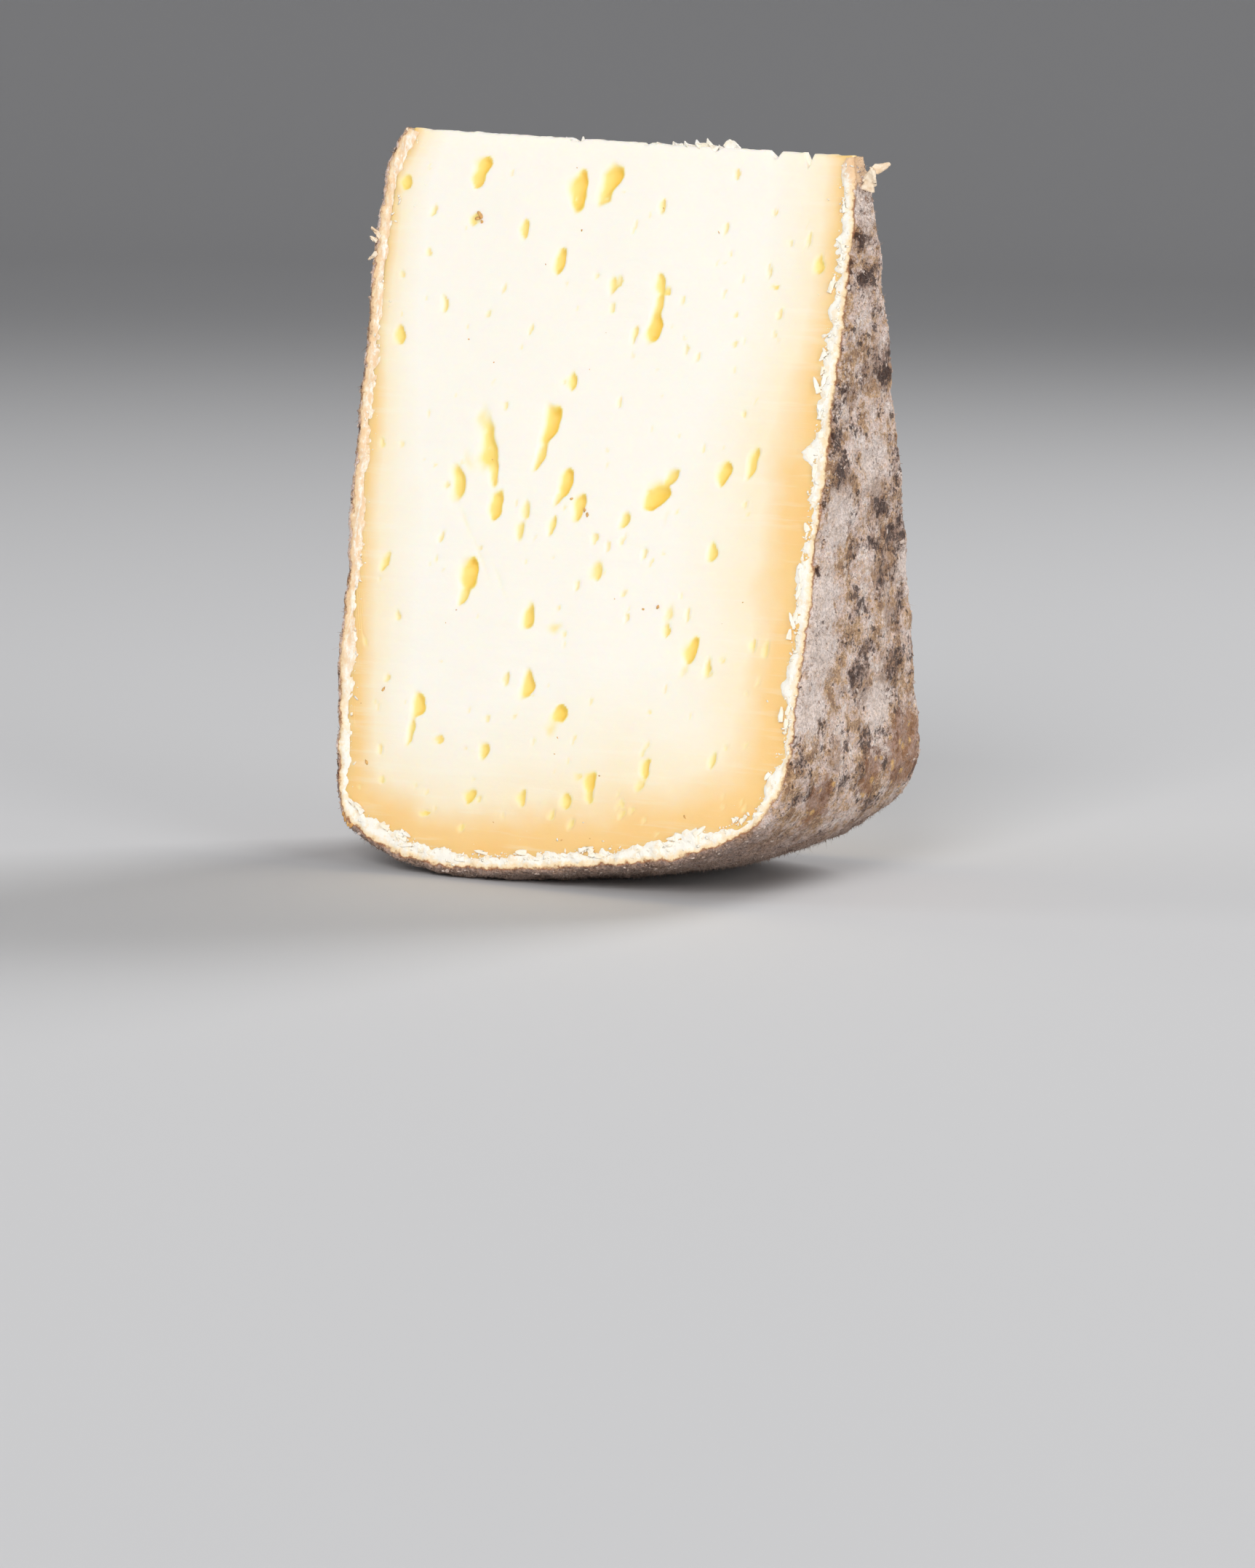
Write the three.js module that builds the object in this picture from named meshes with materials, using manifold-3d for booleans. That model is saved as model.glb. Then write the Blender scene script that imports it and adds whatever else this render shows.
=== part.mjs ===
// Wedge cut from a small wheel of semi-hard cheese with a natural mould rind.
// Millimetres, +Z up. X runs along the wheel's axis. The wedge stands on its rim with its tip up,
// its two cut faces lean back equally from the vertical, and the origin is under its middle.

import * as THREE from 'three';
import { mergeVertices } from 'three/addons/utils/BufferGeometryUtils.js';
import Module from 'manifold-3d';

// Wheel
const WHEEL_RADIUS = 100;
const HALF_WIDTH_AT_CENTRE = 36.6;
const LEFT_HALF_WIDTH_AT_HEEL = 30.8;
const RIGHT_HALF_WIDTH_AT_SHOULDER = 36.4;
const RIND_STEP = 2.3;

// Wedge
const WEDGE_ANGLE = THREE.MathUtils.degToRad(27);
const TIP_WIDTH = 1.5;
const TIP_SLOPE = THREE.MathUtils.degToRad(1.5);
const TIP_RISE = 0.5;
const FLAT_SPOT_DEPTH = 1.5;
const FLOOR_LEVEL = -WHEEL_RADIUS + FLAT_SPOT_DEPTH;

// Rind relief: each wave length and its height, both in millimetres
const RIND_WAVES = [
  { length: 17, height: 0.55 },
  { length: 7.5, height: 0.5 },
  { length: 3.6, height: 0.65 },
];

// Eyes
const PASTE_MARGIN = 5;
const SMALL_EYES_PER_FACE = 14;
const HIDDEN_FACE_LARGE_EYES = 22;
const SEED = 41;

// The main eyes of the shown face: across from its middle line, down from the tip, width, height, and
// the lean of the long axis in degrees, positive where its top leans to the right.
const MAIN_EYES = [
  { across: -21.8, down: 4.6, width: 2.6, height: 4, lean: 20 },
  { across: -5.9, down: 6.8, width: 2.8, height: 5.6, lean: 0 },
  { across: -1.2, down: 5.4, width: 2.6, height: 6.2, lean: 15 },
  { across: -13.4, down: 12, width: 1.6, height: 2.4, lean: 0 },
  { across: -7.1, down: 16.5, width: 2.1, height: 4.2, lean: 0 },
  { across: 8.7, down: 19, width: 2.3, height: 3.6, lean: -20 },
  { across: 8, down: 23.6, width: 2.4, height: 6.4, lean: 12 },
  { across: -3.1, down: 32.7, width: 1.6, height: 3, lean: 10 },
  { across: 31.3, down: 15.2, width: 1.5, height: 2.8, lean: 0 },
  { across: -30.8, down: 27.6, width: 1.6, height: 3, lean: -10 },
  { across: -5, down: 40, width: 2.8, height: 9.2, lean: 17 },
  { across: -14.8, down: 42, width: 3.2, height: 10.6, lean: -8 },
  { across: -18.2, down: 48, width: 2.8, height: 6.6, lean: 15 },
  { across: -12, down: 50, width: 2, height: 4, lean: -20 },
  { across: -2.2, down: 46.9, width: 2.3, height: 5, lean: 8 },
  { across: 12.2, down: 46.5, width: 3.6, height: 6.2, lean: 42 },
  { across: 21.3, down: 43.9, width: 2.1, height: 3.9, lean: 5 },
  { across: -7.6, down: 51.8, width: 1.5, height: 5.4, lean: 5 },
  { across: -15.1, down: 60.4, width: 2.6, height: 6.8, lean: -5 },
  { across: 4.3, down: 58.1, width: 1.9, height: 3.4, lean: 0 },
  { across: 16.3, down: 63.7, width: 1.6, height: 3.9, lean: 15 },
  { across: 19.8, down: 68.2, width: 2, height: 4.4, lean: 0 },
  { across: -4.9, down: 64.9, width: 1.8, height: 4, lean: 5 },
  { across: -0.7, down: 66.2, width: 2.5, height: 2.6, lean: 0 },
  { across: -3.8, down: 74.3, width: 1.9, height: 4.6, lean: 0 },
  { across: 1.9, down: 78.1, width: 3.2, height: 2.9, lean: -20 },
  { across: -20, down: 79.4, width: 1.7, height: 6, lean: 5 },
  { across: 7.6, down: 86.7, width: 2.8, height: 4.2, lean: 10 },
  { across: -9.1, down: 83.3, width: 1.7, height: 2.8, lean: 10 },
  { across: 15.5, down: 84.5, width: 1.9, height: 3.8, lean: 8 },
  { across: -2.3, down: 89.4, width: 1.5, height: 2.7, lean: 0 },
  { across: 4.5, down: 89.4, width: 1.6, height: 2.5, lean: 0 },
];

// Nicks in the tip edge, each with its place along the wheel's axis
const TIP_NICKS = [
  { across: 27.9, width: 0.8, depth: 2.2 },
  { across: 22.9, width: 1.3, depth: 1 },
  { across: 14.2, width: 1, depth: 0.8 },
];

// Torn flakes fused to the wedge: root, length, width, the turn of the length about the line of sight
// from +X towards +Z, and how far the free end curls up, both in degrees
const TORN_FLAKES = [
  { root: [36, 0.6, -4.6], length: 5.8, width: 2.6, turn: 40, curl: 34 },
  { root: [35.4, -1.2, -6.6], length: 3.4, width: 2.2, turn: 14, curl: -20 },
  { root: [9.4, 0, -0.9], length: 3.4, width: 1.6, turn: 34, curl: -26 },
  { root: [13.4, 0, -0.9], length: 2.9, width: 1.6, turn: 118, curl: 22 },
  { root: [16, 0, -0.9], length: 2.4, width: 1.4, turn: 62, curl: -18 },
  { root: [-34, 0, -0.4], length: 2.8, width: 1.6, turn: 104, curl: 16 },
  { root: [-35.4, -2.6, -14.6], length: 3, width: 1.8, turn: 152, curl: -24 },
];
const FLAKE_THICKNESS = 0.8;

const wasm = await Module();
wasm.setup();

const cheese = new THREE.MeshStandardMaterial({ color: 0xf6e3b0, roughness: 0.55, metalness: 0 });

// A closed three.js geometry as a solid that can be joined and cut.
function toSolid(geometry) {
  const bare = geometry.clone();
  bare.deleteAttribute('normal');
  bare.deleteAttribute('uv');
  const merged = mergeVertices(bare, 1e-4);
  return new wasm.Manifold(new wasm.Mesh({
    numProp: 3,
    vertProperties: new Float32Array(merged.attributes.position.array),
    triVerts: new Uint32Array(merged.index.array),
  }));
}

// A solid back as a three.js geometry, with flat-shaded faces.
function toGeometry(solid) {
  const mesh = solid.getMesh();
  const geometry = new THREE.BufferGeometry();
  geometry.setAttribute('position', new THREE.BufferAttribute(new Float32Array(mesh.vertProperties), 3));
  geometry.setIndex(new THREE.BufferAttribute(new Uint32Array(mesh.triVerts), 1));
  geometry.computeVertexNormals();
  return geometry;
}

// A repeatable stream of numbers between 0 and 1.
function seededRandom(seed) {
  let state = seed >>> 0;
  return () => {
    state = (state + 0x6d2b79f5) >>> 0;
    let t = state;
    t = Math.imul(t ^ (t >>> 15), t | 1);
    t ^= t + Math.imul(t ^ (t >>> 7), t | 61);
    return ((t ^ (t >>> 14)) >>> 0) / 4294967296;
  };
}

// A repeatable value between -1 and 1 for each point of a whole-number lattice.
function latticeValue(i, j, k) {
  let h = Math.imul(i, 374761393) ^ Math.imul(j, 668265263) ^ Math.imul(k, 2147483647);
  h = Math.imul(h ^ (h >>> 13), 1274126177);
  return ((h ^ (h >>> 16)) >>> 0) / 2147483648 - 1;
}

// Smooth noise between -1 and 1, one bump for each unit of length.
function noise(point) {
  const cell = [Math.floor(point.x), Math.floor(point.y), Math.floor(point.z)];
  const part = [point.x - cell[0], point.y - cell[1], point.z - cell[2]];
  const ease = part.map((t) => t * t * (3 - 2 * t));
  let sum = 0;
  for (let corner = 0; corner < 8; corner += 1) {
    const step = [corner & 1, (corner >> 1) & 1, corner >> 2];
    const weight = step.reduce((product, s, axis) => product * (s ? ease[axis] : 1 - ease[axis]), 1);
    sum += weight * latticeValue(cell[0] + step[0], cell[1] + step[1], cell[2] + step[2]);
  }
  return sum;
}

// Height of the rind's crags at a point.
function rindRelief(point) {
  return RIND_WAVES.reduce(
    (sum, wave) => sum + wave.height * noise(point.clone().divideScalar(wave.length)),
    0,
  );
}

// Section of the wheel, from its centre line out to the rim: nearly square on the left, where the heel
// bulged while the wheel lay on that side, and well rounded on the right.
function wheelSection() {
  const above = 6;
  const rightTurn = 78;
  const leftTurn = 90;
  const rim = WHEEL_RADIUS;
  const path = new THREE.Path();
  path.moveTo(HALF_WIDTH_AT_CENTRE - 1.2, above);
  path.lineTo(RIGHT_HALF_WIDTH_AT_SHOULDER, -rightTurn);
  path.bezierCurveTo(37, -90, 30, -rim + 6.6, 20, -rim + 4.2);
  path.bezierCurveTo(8, -rim + 1.6, -4, -rim, -12, -rim);
  path.quadraticCurveTo(-20, -rim + 0.4, -27.4, -rim + 4);
  path.quadraticCurveTo(-LEFT_HALF_WIDTH_AT_HEEL + 0.4, -rim + 5.4, -LEFT_HALF_WIDTH_AT_HEEL, -leftTurn);
  path.quadraticCurveTo(-LEFT_HALF_WIDTH_AT_HEEL - 4.4, -50, -HALF_WIDTH_AT_CENTRE, -14);
  path.lineTo(-HALF_WIDTH_AT_CENTRE, -4);
  path.lineTo(-HALF_WIDTH_AT_CENTRE + 3.6, above);
  return new THREE.Shape(path.getSpacedPoints(Math.round(path.getLength() / RIND_STEP)));
}

// A stretch of the wheel, wider than the wedge, with the rim's curve and the rind's relief.
function wheelStretch() {
  const width = 2 * WHEEL_RADIUS * Math.sin(WEDGE_ANGLE / 2) + 8;
  const geometry = new THREE.ExtrudeGeometry(wheelSection(), {
    depth: width,
    steps: Math.round(width / RIND_STEP),
    bevelEnabled: false,
  });
  geometry.translate(0, 0, -width / 2);
  geometry.rotateX(Math.PI / 2);
  geometry.deleteAttribute('normal');
  geometry.deleteAttribute('uv');
  const skin = mergeVertices(geometry, 1e-4);
  const position = skin.attributes.position;
  const point = new THREE.Vector3();
  for (let i = 0; i < position.count; i += 1) {
    point.fromBufferAttribute(position, i);
    const sag = Math.sqrt(1 - (point.y / WHEEL_RADIUS) ** 2);
    position.setZ(i, point.z < 0 ? point.z * sag : point.z);
  }
  skin.computeVertexNormals();
  const normal = new THREE.Vector3();
  for (let i = 0; i < position.count; i += 1) {
    point.fromBufferAttribute(position, i);
    normal.fromBufferAttribute(skin.attributes.normal, i);
    point.addScaledVector(normal, rindRelief(point));
    position.setXYZ(i, point.x, point.y, point.z);
  }
  return toSolid(skin);
}

// The space between the two cuts, open past the rim and past both sides of the wheel.
function wedgeSpace() {
  const reach = WHEEL_RADIUS * 1.2;
  const side = 2 * HALF_WIDTH_AT_CENTRE + 40;
  const low = TIP_WIDTH / 2 + reach * Math.tan(WEDGE_ANGLE / 2);
  const high = 3 * Math.tan(WEDGE_ANGLE / 2);
  const outline = new THREE.Shape([
    new THREE.Vector2(-low, -reach),
    new THREE.Vector2(low, -reach),
    new THREE.Vector2(TIP_WIDTH / 2 - high, 3),
    new THREE.Vector2(-TIP_WIDTH / 2 + high, 3),
  ]);
  const geometry = new THREE.ExtrudeGeometry(outline, { depth: side, bevelEnabled: false });
  geometry.translate(0, 0, -side / 2);
  geometry.rotateX(Math.PI / 2);
  geometry.rotateZ(Math.PI / 2);
  return toSolid(geometry);
}

// A block that a cut takes away, turned about the Y axis.
function block(size, centre, turn = 0) {
  const geometry = new THREE.BoxGeometry(...size);
  geometry.rotateY(turn);
  geometry.translate(...centre);
  return toSolid(geometry);
}

// The directions of a cut face, -1 for the shown one and 1 for the hidden one: down it, out of it and
// across it along the wheel's axis, with its point at the middle of the tip.
function facePlacement(side) {
  const half = WEDGE_ANGLE / 2;
  const down = new THREE.Vector3(0, side * Math.sin(half), -Math.cos(half));
  const outward = new THREE.Vector3(0, side * Math.cos(half), Math.sin(half));
  const across = new THREE.Vector3().crossVectors(outward, down).multiplyScalar(side);
  const origin = new THREE.Vector3(0, side * TIP_WIDTH / 2, 0);
  return { down, outward, across: across.x < 0 ? across.negate() : across, origin };
}

// One gas hole, cut open by the face: a lumpy ellipsoid with its middle a little under the face.
function eye(spec, side) {
  const face = facePlacement(side);
  const sides = Math.min(10, 4 + Math.round(spec.height));
  const halfThickness = TIP_WIDTH / 2 + spec.down * Math.sin(WEDGE_ANGLE / 2);
  const depth = Math.min(0.42 * (spec.width + spec.height) / 2, 0.55 * halfThickness, 2);
  const geometry = new THREE.SphereGeometry(1, sides, Math.ceil(sides / 2));
  geometry.scale(spec.width / 2, spec.height / 2, depth);
  geometry.rotateZ(-THREE.MathUtils.degToRad(spec.lean) * -side);
  const frame = new THREE.Matrix4().makeBasis(
    face.across.clone().multiplyScalar(-side),
    face.down.clone().negate(),
    face.outward,
  );
  const centre = face.origin.clone()
    .addScaledVector(face.across, spec.across)
    .addScaledVector(face.down, spec.down)
    .addScaledVector(face.outward, -0.3 * depth);
  frame.setPosition(centre);
  geometry.applyMatrix4(frame);
  return toSolid(geometry);
}

// Eyes drawn by the seeded rule into the free paste of a face, clear of those already there.
function drawEyes(random, taken, count, sizes) {
  const drawn = [];
  const halfWidth = LEFT_HALF_WIDTH_AT_HEEL - PASTE_MARGIN;
  for (let tries = 0; drawn.length < count && tries < 4000; tries += 1) {
    const width = sizes.least + (sizes.most - sizes.least) * random() ** 2;
    const spec = {
      across: (2 * random() - 1) * halfWidth,
      down: 4 + random() * (WHEEL_RADIUS - 2 * PASTE_MARGIN - 4),
      width,
      height: width * (1.3 + 1.7 * random()),
      lean: -15 + 40 * random(),
    };
    const clear = [...taken, ...drawn].every((other) => {
      const gap = Math.hypot(other.across - spec.across, other.down - spec.down);
      return gap > (other.height + spec.height) / 2 + 0.6;
    });
    if (clear) {
      drawn.push(spec);
    }
  }
  return drawn;
}

// A torn flake, fused where its root overlaps the wedge: a thin strip that narrows and curls.
function flake(spec) {
  const geometry = new THREE.BoxGeometry(1, 1, 1, 4, 2, 1);
  const position = geometry.attributes.position;
  const curl = THREE.MathUtils.degToRad(spec.curl);
  for (let i = 0; i < position.count; i += 1) {
    const along = position.getX(i) + 0.5;
    const angle = curl * along * along;
    const taper = 1 - 0.75 * along * along;
    const lift = position.getZ(i) * FLAKE_THICKNESS * taper;
    position.setXYZ(
      i,
      spec.length * along * Math.cos(angle) - lift * Math.sin(angle),
      position.getY(i) * spec.width * taper,
      spec.length * along * Math.sin(angle) + lift * Math.cos(angle),
    );
  }
  geometry.rotateY(-THREE.MathUtils.degToRad(spec.turn));
  geometry.translate(...spec.root);
  return toSolid(geometry);
}

// The solid without any scrap that a cut left loose.
function largestBody(solid) {
  const bodies = solid.decompose();
  return bodies.reduce((best, body) => (body.volume() > best.volume() ? body : best));
}

// The whole wedge, with its footprint's middle at the origin.
function cheeseWedge() {
  const big = 400;
  let solid = wheelStretch().intersect(wedgeSpace());
  const tipCut = [big / 2 * Math.sin(TIP_SLOPE), 0, TIP_RISE + big / 2 * Math.cos(TIP_SLOPE)];
  solid = solid.subtract(block([big, big, big], tipCut, TIP_SLOPE));
  TIP_NICKS.forEach((nick) => {
    const centre = [nick.across, 0, -nick.depth + big / 2];
    solid = solid.subtract(block([nick.width, big, big], centre));
  });
  TORN_FLAKES.forEach((spec) => {
    solid = solid.add(flake(spec));
  });

  const random = seededRandom(SEED);
  const small = { least: 0.9, most: 1.8 };
  const large = { least: 1.5, most: 3.4 };
  const shown = [...MAIN_EYES, ...drawEyes(random, MAIN_EYES, SMALL_EYES_PER_FACE, small)];
  const hidden = drawEyes(random, [], HIDDEN_FACE_LARGE_EYES, large);
  hidden.push(...drawEyes(random, hidden, SMALL_EYES_PER_FACE, small));
  shown.forEach((spec) => {
    solid = solid.subtract(eye(spec, -1));
  });
  hidden.forEach((spec) => {
    solid = solid.subtract(eye(spec, 1));
  });

  solid = solid.subtract(block([big, big, big], [0, 0, FLOOR_LEVEL - big / 2]));
  const geometry = toGeometry(largestBody(solid));
  geometry.computeBoundingBox();
  const middle = geometry.boundingBox.getCenter(new THREE.Vector3());
  geometry.translate(-middle.x, -middle.y, -FLOOR_LEVEL);
  return geometry;
}

const part = new THREE.Group();
const wedge = new THREE.Mesh(cheeseWedge(), cheese);
wedge.name = 'cheese_wedge';
part.add(wedge);

export default part;
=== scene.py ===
"""A wedge of natural-rind cheese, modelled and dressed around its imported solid.

The wedge stands on its rim with its tip up. Its paste, its rind, the crumbs and flakes that the cut left
and the mould's hairs are separate pieces, and all of them stand for the one solid of the frame.
Sizes are in millimetres, and meshes are written in metres.
"""

import logging
import math
from dataclasses import dataclass, field
from enum import Enum

import bpy
import numpy as np
from mathutils import Matrix, Vector


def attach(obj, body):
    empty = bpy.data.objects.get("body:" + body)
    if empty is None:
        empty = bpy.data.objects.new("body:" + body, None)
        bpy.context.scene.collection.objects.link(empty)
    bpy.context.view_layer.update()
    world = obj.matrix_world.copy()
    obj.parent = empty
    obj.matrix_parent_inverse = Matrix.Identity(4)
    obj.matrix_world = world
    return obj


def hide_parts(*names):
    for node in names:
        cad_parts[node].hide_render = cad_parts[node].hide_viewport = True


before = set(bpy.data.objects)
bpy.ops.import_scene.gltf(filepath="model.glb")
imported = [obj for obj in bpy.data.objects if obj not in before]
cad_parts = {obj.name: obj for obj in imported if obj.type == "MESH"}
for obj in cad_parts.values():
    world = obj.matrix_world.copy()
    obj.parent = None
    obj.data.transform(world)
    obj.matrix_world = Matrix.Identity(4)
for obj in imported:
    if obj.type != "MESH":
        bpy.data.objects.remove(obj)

MM = 0.001
NODE = "cheese_wedge"
BODY = "root"

LOG = logging.getLogger("cheese")

Piece = bpy.types.Object
Socket = bpy.types.NodeSocket
Array = np.ndarray


class Side(Enum):
    """The two cut faces of the wedge."""

    SHOWN = -1
    HIDDEN = 1


def srgb(red: float, green: float, blue: float) -> tuple[float, float, float, float]:
    """Turn a display colour into the linear values that a shader takes.

    Args:
        red: Red from 0 to 255.
        green: Green from 0 to 255.
        blue: Blue from 0 to 255.

    Returns:
        Linear red, green and blue, with an alpha of 1.
    """
    linear = [
        value / 12.92 if value <= 0.04045 else ((value + 0.055) / 1.055) ** 2.4
        for value in (red / 255, green / 255, blue / 255)
    ]
    return (linear[0], linear[1], linear[2], 1.0)


def smoothstep(low: float, high: float, value: Array) -> Array:
    """Ease from 0 at low to 1 at high.

    Args:
        low: Where the rise starts.
        high: Where the rise ends.
        value: The values to ease.

    Returns:
        The eased values, from 0 to 1.
    """
    part = np.clip((value - low) / (high - low), 0.0, 1.0)
    return part * part * (3 - 2 * part)


class NoiseField:
    """Repeatable smooth noise over points given in millimetres."""

    SIZE = 256

    def __init__(self, seed: int) -> None:
        """Shuffle the lattice with a seed."""
        rng = np.random.default_rng(seed)
        self.order = rng.permutation(self.SIZE)
        slopes = rng.normal(size=(self.SIZE, 3))
        self.slopes = slopes / np.linalg.norm(slopes, axis=1)[:, None]

    def at(self, points: Array, length: float) -> Array:
        """Give gradient noise with one bump for about each length.

        Args:
            points: Places, one row each.
            length: The bumps' length.

        Returns:
            Values from about -1 to 1.
        """
        scaled = points / length
        cell = np.floor(scaled).astype(int)
        part = scaled - cell
        ease = part**3 * (part * (part * 6 - 15) + 10)
        total = np.zeros(len(points))
        for corner in range(8):
            step = np.array([corner & 1, (corner >> 1) & 1, corner >> 2])
            lattice = cell + step
            index = self.order[lattice[:, 0] % self.SIZE]
            index = self.order[(index + lattice[:, 1]) % self.SIZE]
            index = self.order[(index + lattice[:, 2]) % self.SIZE]
            weight = np.prod(np.where(step == 1, ease, 1 - ease), axis=1)
            total += weight * np.einsum("ij,ij->i", self.slopes[index], part - step)
        return 1.7 * total

    def mix(self, points: Array, parts: tuple) -> Array:
        """Add noises, each given by its height and its length."""
        return sum(height * self.at(points, length) for height, length in parts)

    def fractal(self, points: Array, length: float, octaves: int) -> Array:
        """Add octaves, each of half the length and about half the height.

        Args:
            points: Places, one row each.
            length: The first octave's length.
            octaves: How many octaves are added.

        Returns:
            Values from about -1.5 to 1.5.
        """
        total = np.zeros(len(points))
        for octave in range(octaves):
            total += self.at(points + 13.7 * octave, length / 2**octave) / 1.9**octave
        return total


@dataclass(frozen=True)
class WedgeForm:
    """The form of the wedge: its wheel's section, its two cuts and how it stands.

    A place in it is given by x along the wheel's axis, r out from the axis, and a turn from -1 on the
    shown cut to 1 on the hidden one.
    """

    radius: float = 100.0
    half_width: float = 36.6
    heel_half_width: float = 30.8
    heel_swell: float = 0.9
    shoulder_half_width: float = 36.4
    shoulder_turn: float = 78.0
    heel_turn: float = 90.0
    half_angle: float = math.radians(13.5)
    tip_width: float = 1.5
    tip_rise: float = 0.5
    tip_slope: float = math.radians(1.5)
    flat_depth: float = 1.5
    middle: tuple[float, float] = (0.733, -0.025)

    def outline(self, step: float, inset: float = 0.0) -> Array:
        """Trace the wheel's section from the left end of the tip, round the rim, to the right end.

        Args:
            step: The spacing of the points.
            inset: How far the line lies inside the wheel's surface.

        Returns:
            One row for each point: x, r and the outward normal's x and r.
        """
        rim, heel = self.radius, self.heel_half_width + self.heel_swell
        curves = [
            [(-self.half_width + 3.6, -6), (-self.half_width, 4)],
            [(-self.half_width, 4), (-self.half_width, 14)],
            [(-self.half_width, 14), (-heel - 4.4, 50), (-heel, self.heel_turn)],
            [(-heel, self.heel_turn), (-heel + 0.4, rim - 5.4), (-27.4, rim - 4)],
            [(-27.4, rim - 4), (-20, rim - 0.4), (-12, rim)],
            [(-12, rim), (-4, rim), (8, rim - 1.6), (20, rim - 4.2)],
            [(20, rim - 4.2), (30, rim - 6.6), (37, 90), (self.shoulder_half_width, self.shoulder_turn)],
            [(self.shoulder_half_width, self.shoulder_turn), (self.half_width - 1.0, 12)],
            [(self.half_width - 1.0, 12), (self.half_width - 1.2, 5), (self.half_width - 3.2, -6)],
        ]
        line = np.concatenate([self.curve(np.array(points, float)) for points in curves])
        line = line[line[:, 1] > self.tip_radius(line[:, 0])]
        length = np.concatenate([[0], np.cumsum(np.hypot(*np.diff(line, axis=0).T))])
        keep = np.concatenate([[True], np.diff(length) > 1e-6])
        line, length = line[keep], length[keep]
        even = np.linspace(0, length[-1], int(round(length[-1] / step)) + 1)
        line = np.stack([np.interp(even, length, line[:, axis]) for axis in (0, 1)], axis=1)
        tangent = np.gradient(line, axis=0)
        for _ in range(3):
            tangent[1:-1] = (tangent[:-2] + tangent[1:-1] + tangent[2:]) / 3
        tangent /= np.linalg.norm(tangent, axis=1)[:, None]
        normal = np.stack([-tangent[:, 1], tangent[:, 0]], axis=1)
        return np.concatenate([line - inset * normal, normal], axis=1)

    @staticmethod
    def curve(points: Array) -> Array:
        """Sample a Bezier curve finely.

        Args:
            points: Its end points with its control points between them.

        Returns:
            The samples, one row each.
        """
        degree = len(points) - 1
        part = np.linspace(0, 1, 200)[:, None]
        weights = [math.comb(degree, k) * part**k * (1 - part) ** (degree - k) for k in range(degree + 1)]
        return sum(weight * point for weight, point in zip(weights, points))

    def tip_radius(self, x: Array) -> Array:
        """Give r where the sloping top of the tip lies, which is below zero above the wheel's axis."""
        return x * math.tan(self.tip_slope) - self.tip_rise

    def place(self, x: Array, r: Array, turn: Array) -> Array:
        """Turn places in the wheel into places in the part's frame.

        Args:
            x: Along the wheel's axis.
            r: Out from the axis.
            turn: From -1 on the shown cut to 1 on the hidden one.

        Returns:
            One row for each place, in millimetres.
        """
        angle = turn * self.half_angle
        across = r * np.sin(angle) + turn * self.tip_width / 2
        height = -r * np.cos(angle) + self.radius - self.flat_depth
        return np.stack([x - self.middle[0], across - self.middle[1], height], axis=-1)

    def outward(self, normal: Array, turn: Array) -> Array:
        """Turn section normals into directions in the part's frame.

        Args:
            normal: One row for each place: the normal's x and r.
            turn: From -1 on the shown cut to 1 on the hidden one.

        Returns:
            One direction for each place.
        """
        angle = turn * self.half_angle
        nx, nr = normal[:, 0], normal[:, 1]
        return np.stack([nx, nr * np.sin(angle), -nr * np.cos(angle)], axis=-1)

    def cut_direction(self, side: Array | float) -> Array:
        """Give the direction that the cut face looks in on each side, where a side is -1 or 1."""
        side = np.asarray(side, float)
        parts = [0 * side, side * math.cos(self.half_angle), 0 * side + math.sin(self.half_angle)]
        return np.stack(parts, axis=-1)


@dataclass(frozen=True)
class Eye:
    """One gas hole on a cut face.

    Its lean in degrees tips the top to the right. A soft one has no crisp wall and is shallow, as where
    the cut smeared the paste.
    """

    across: float
    down: float
    width: float
    height: float
    lean: float = 0.0
    soft: float = 0.0


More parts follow.
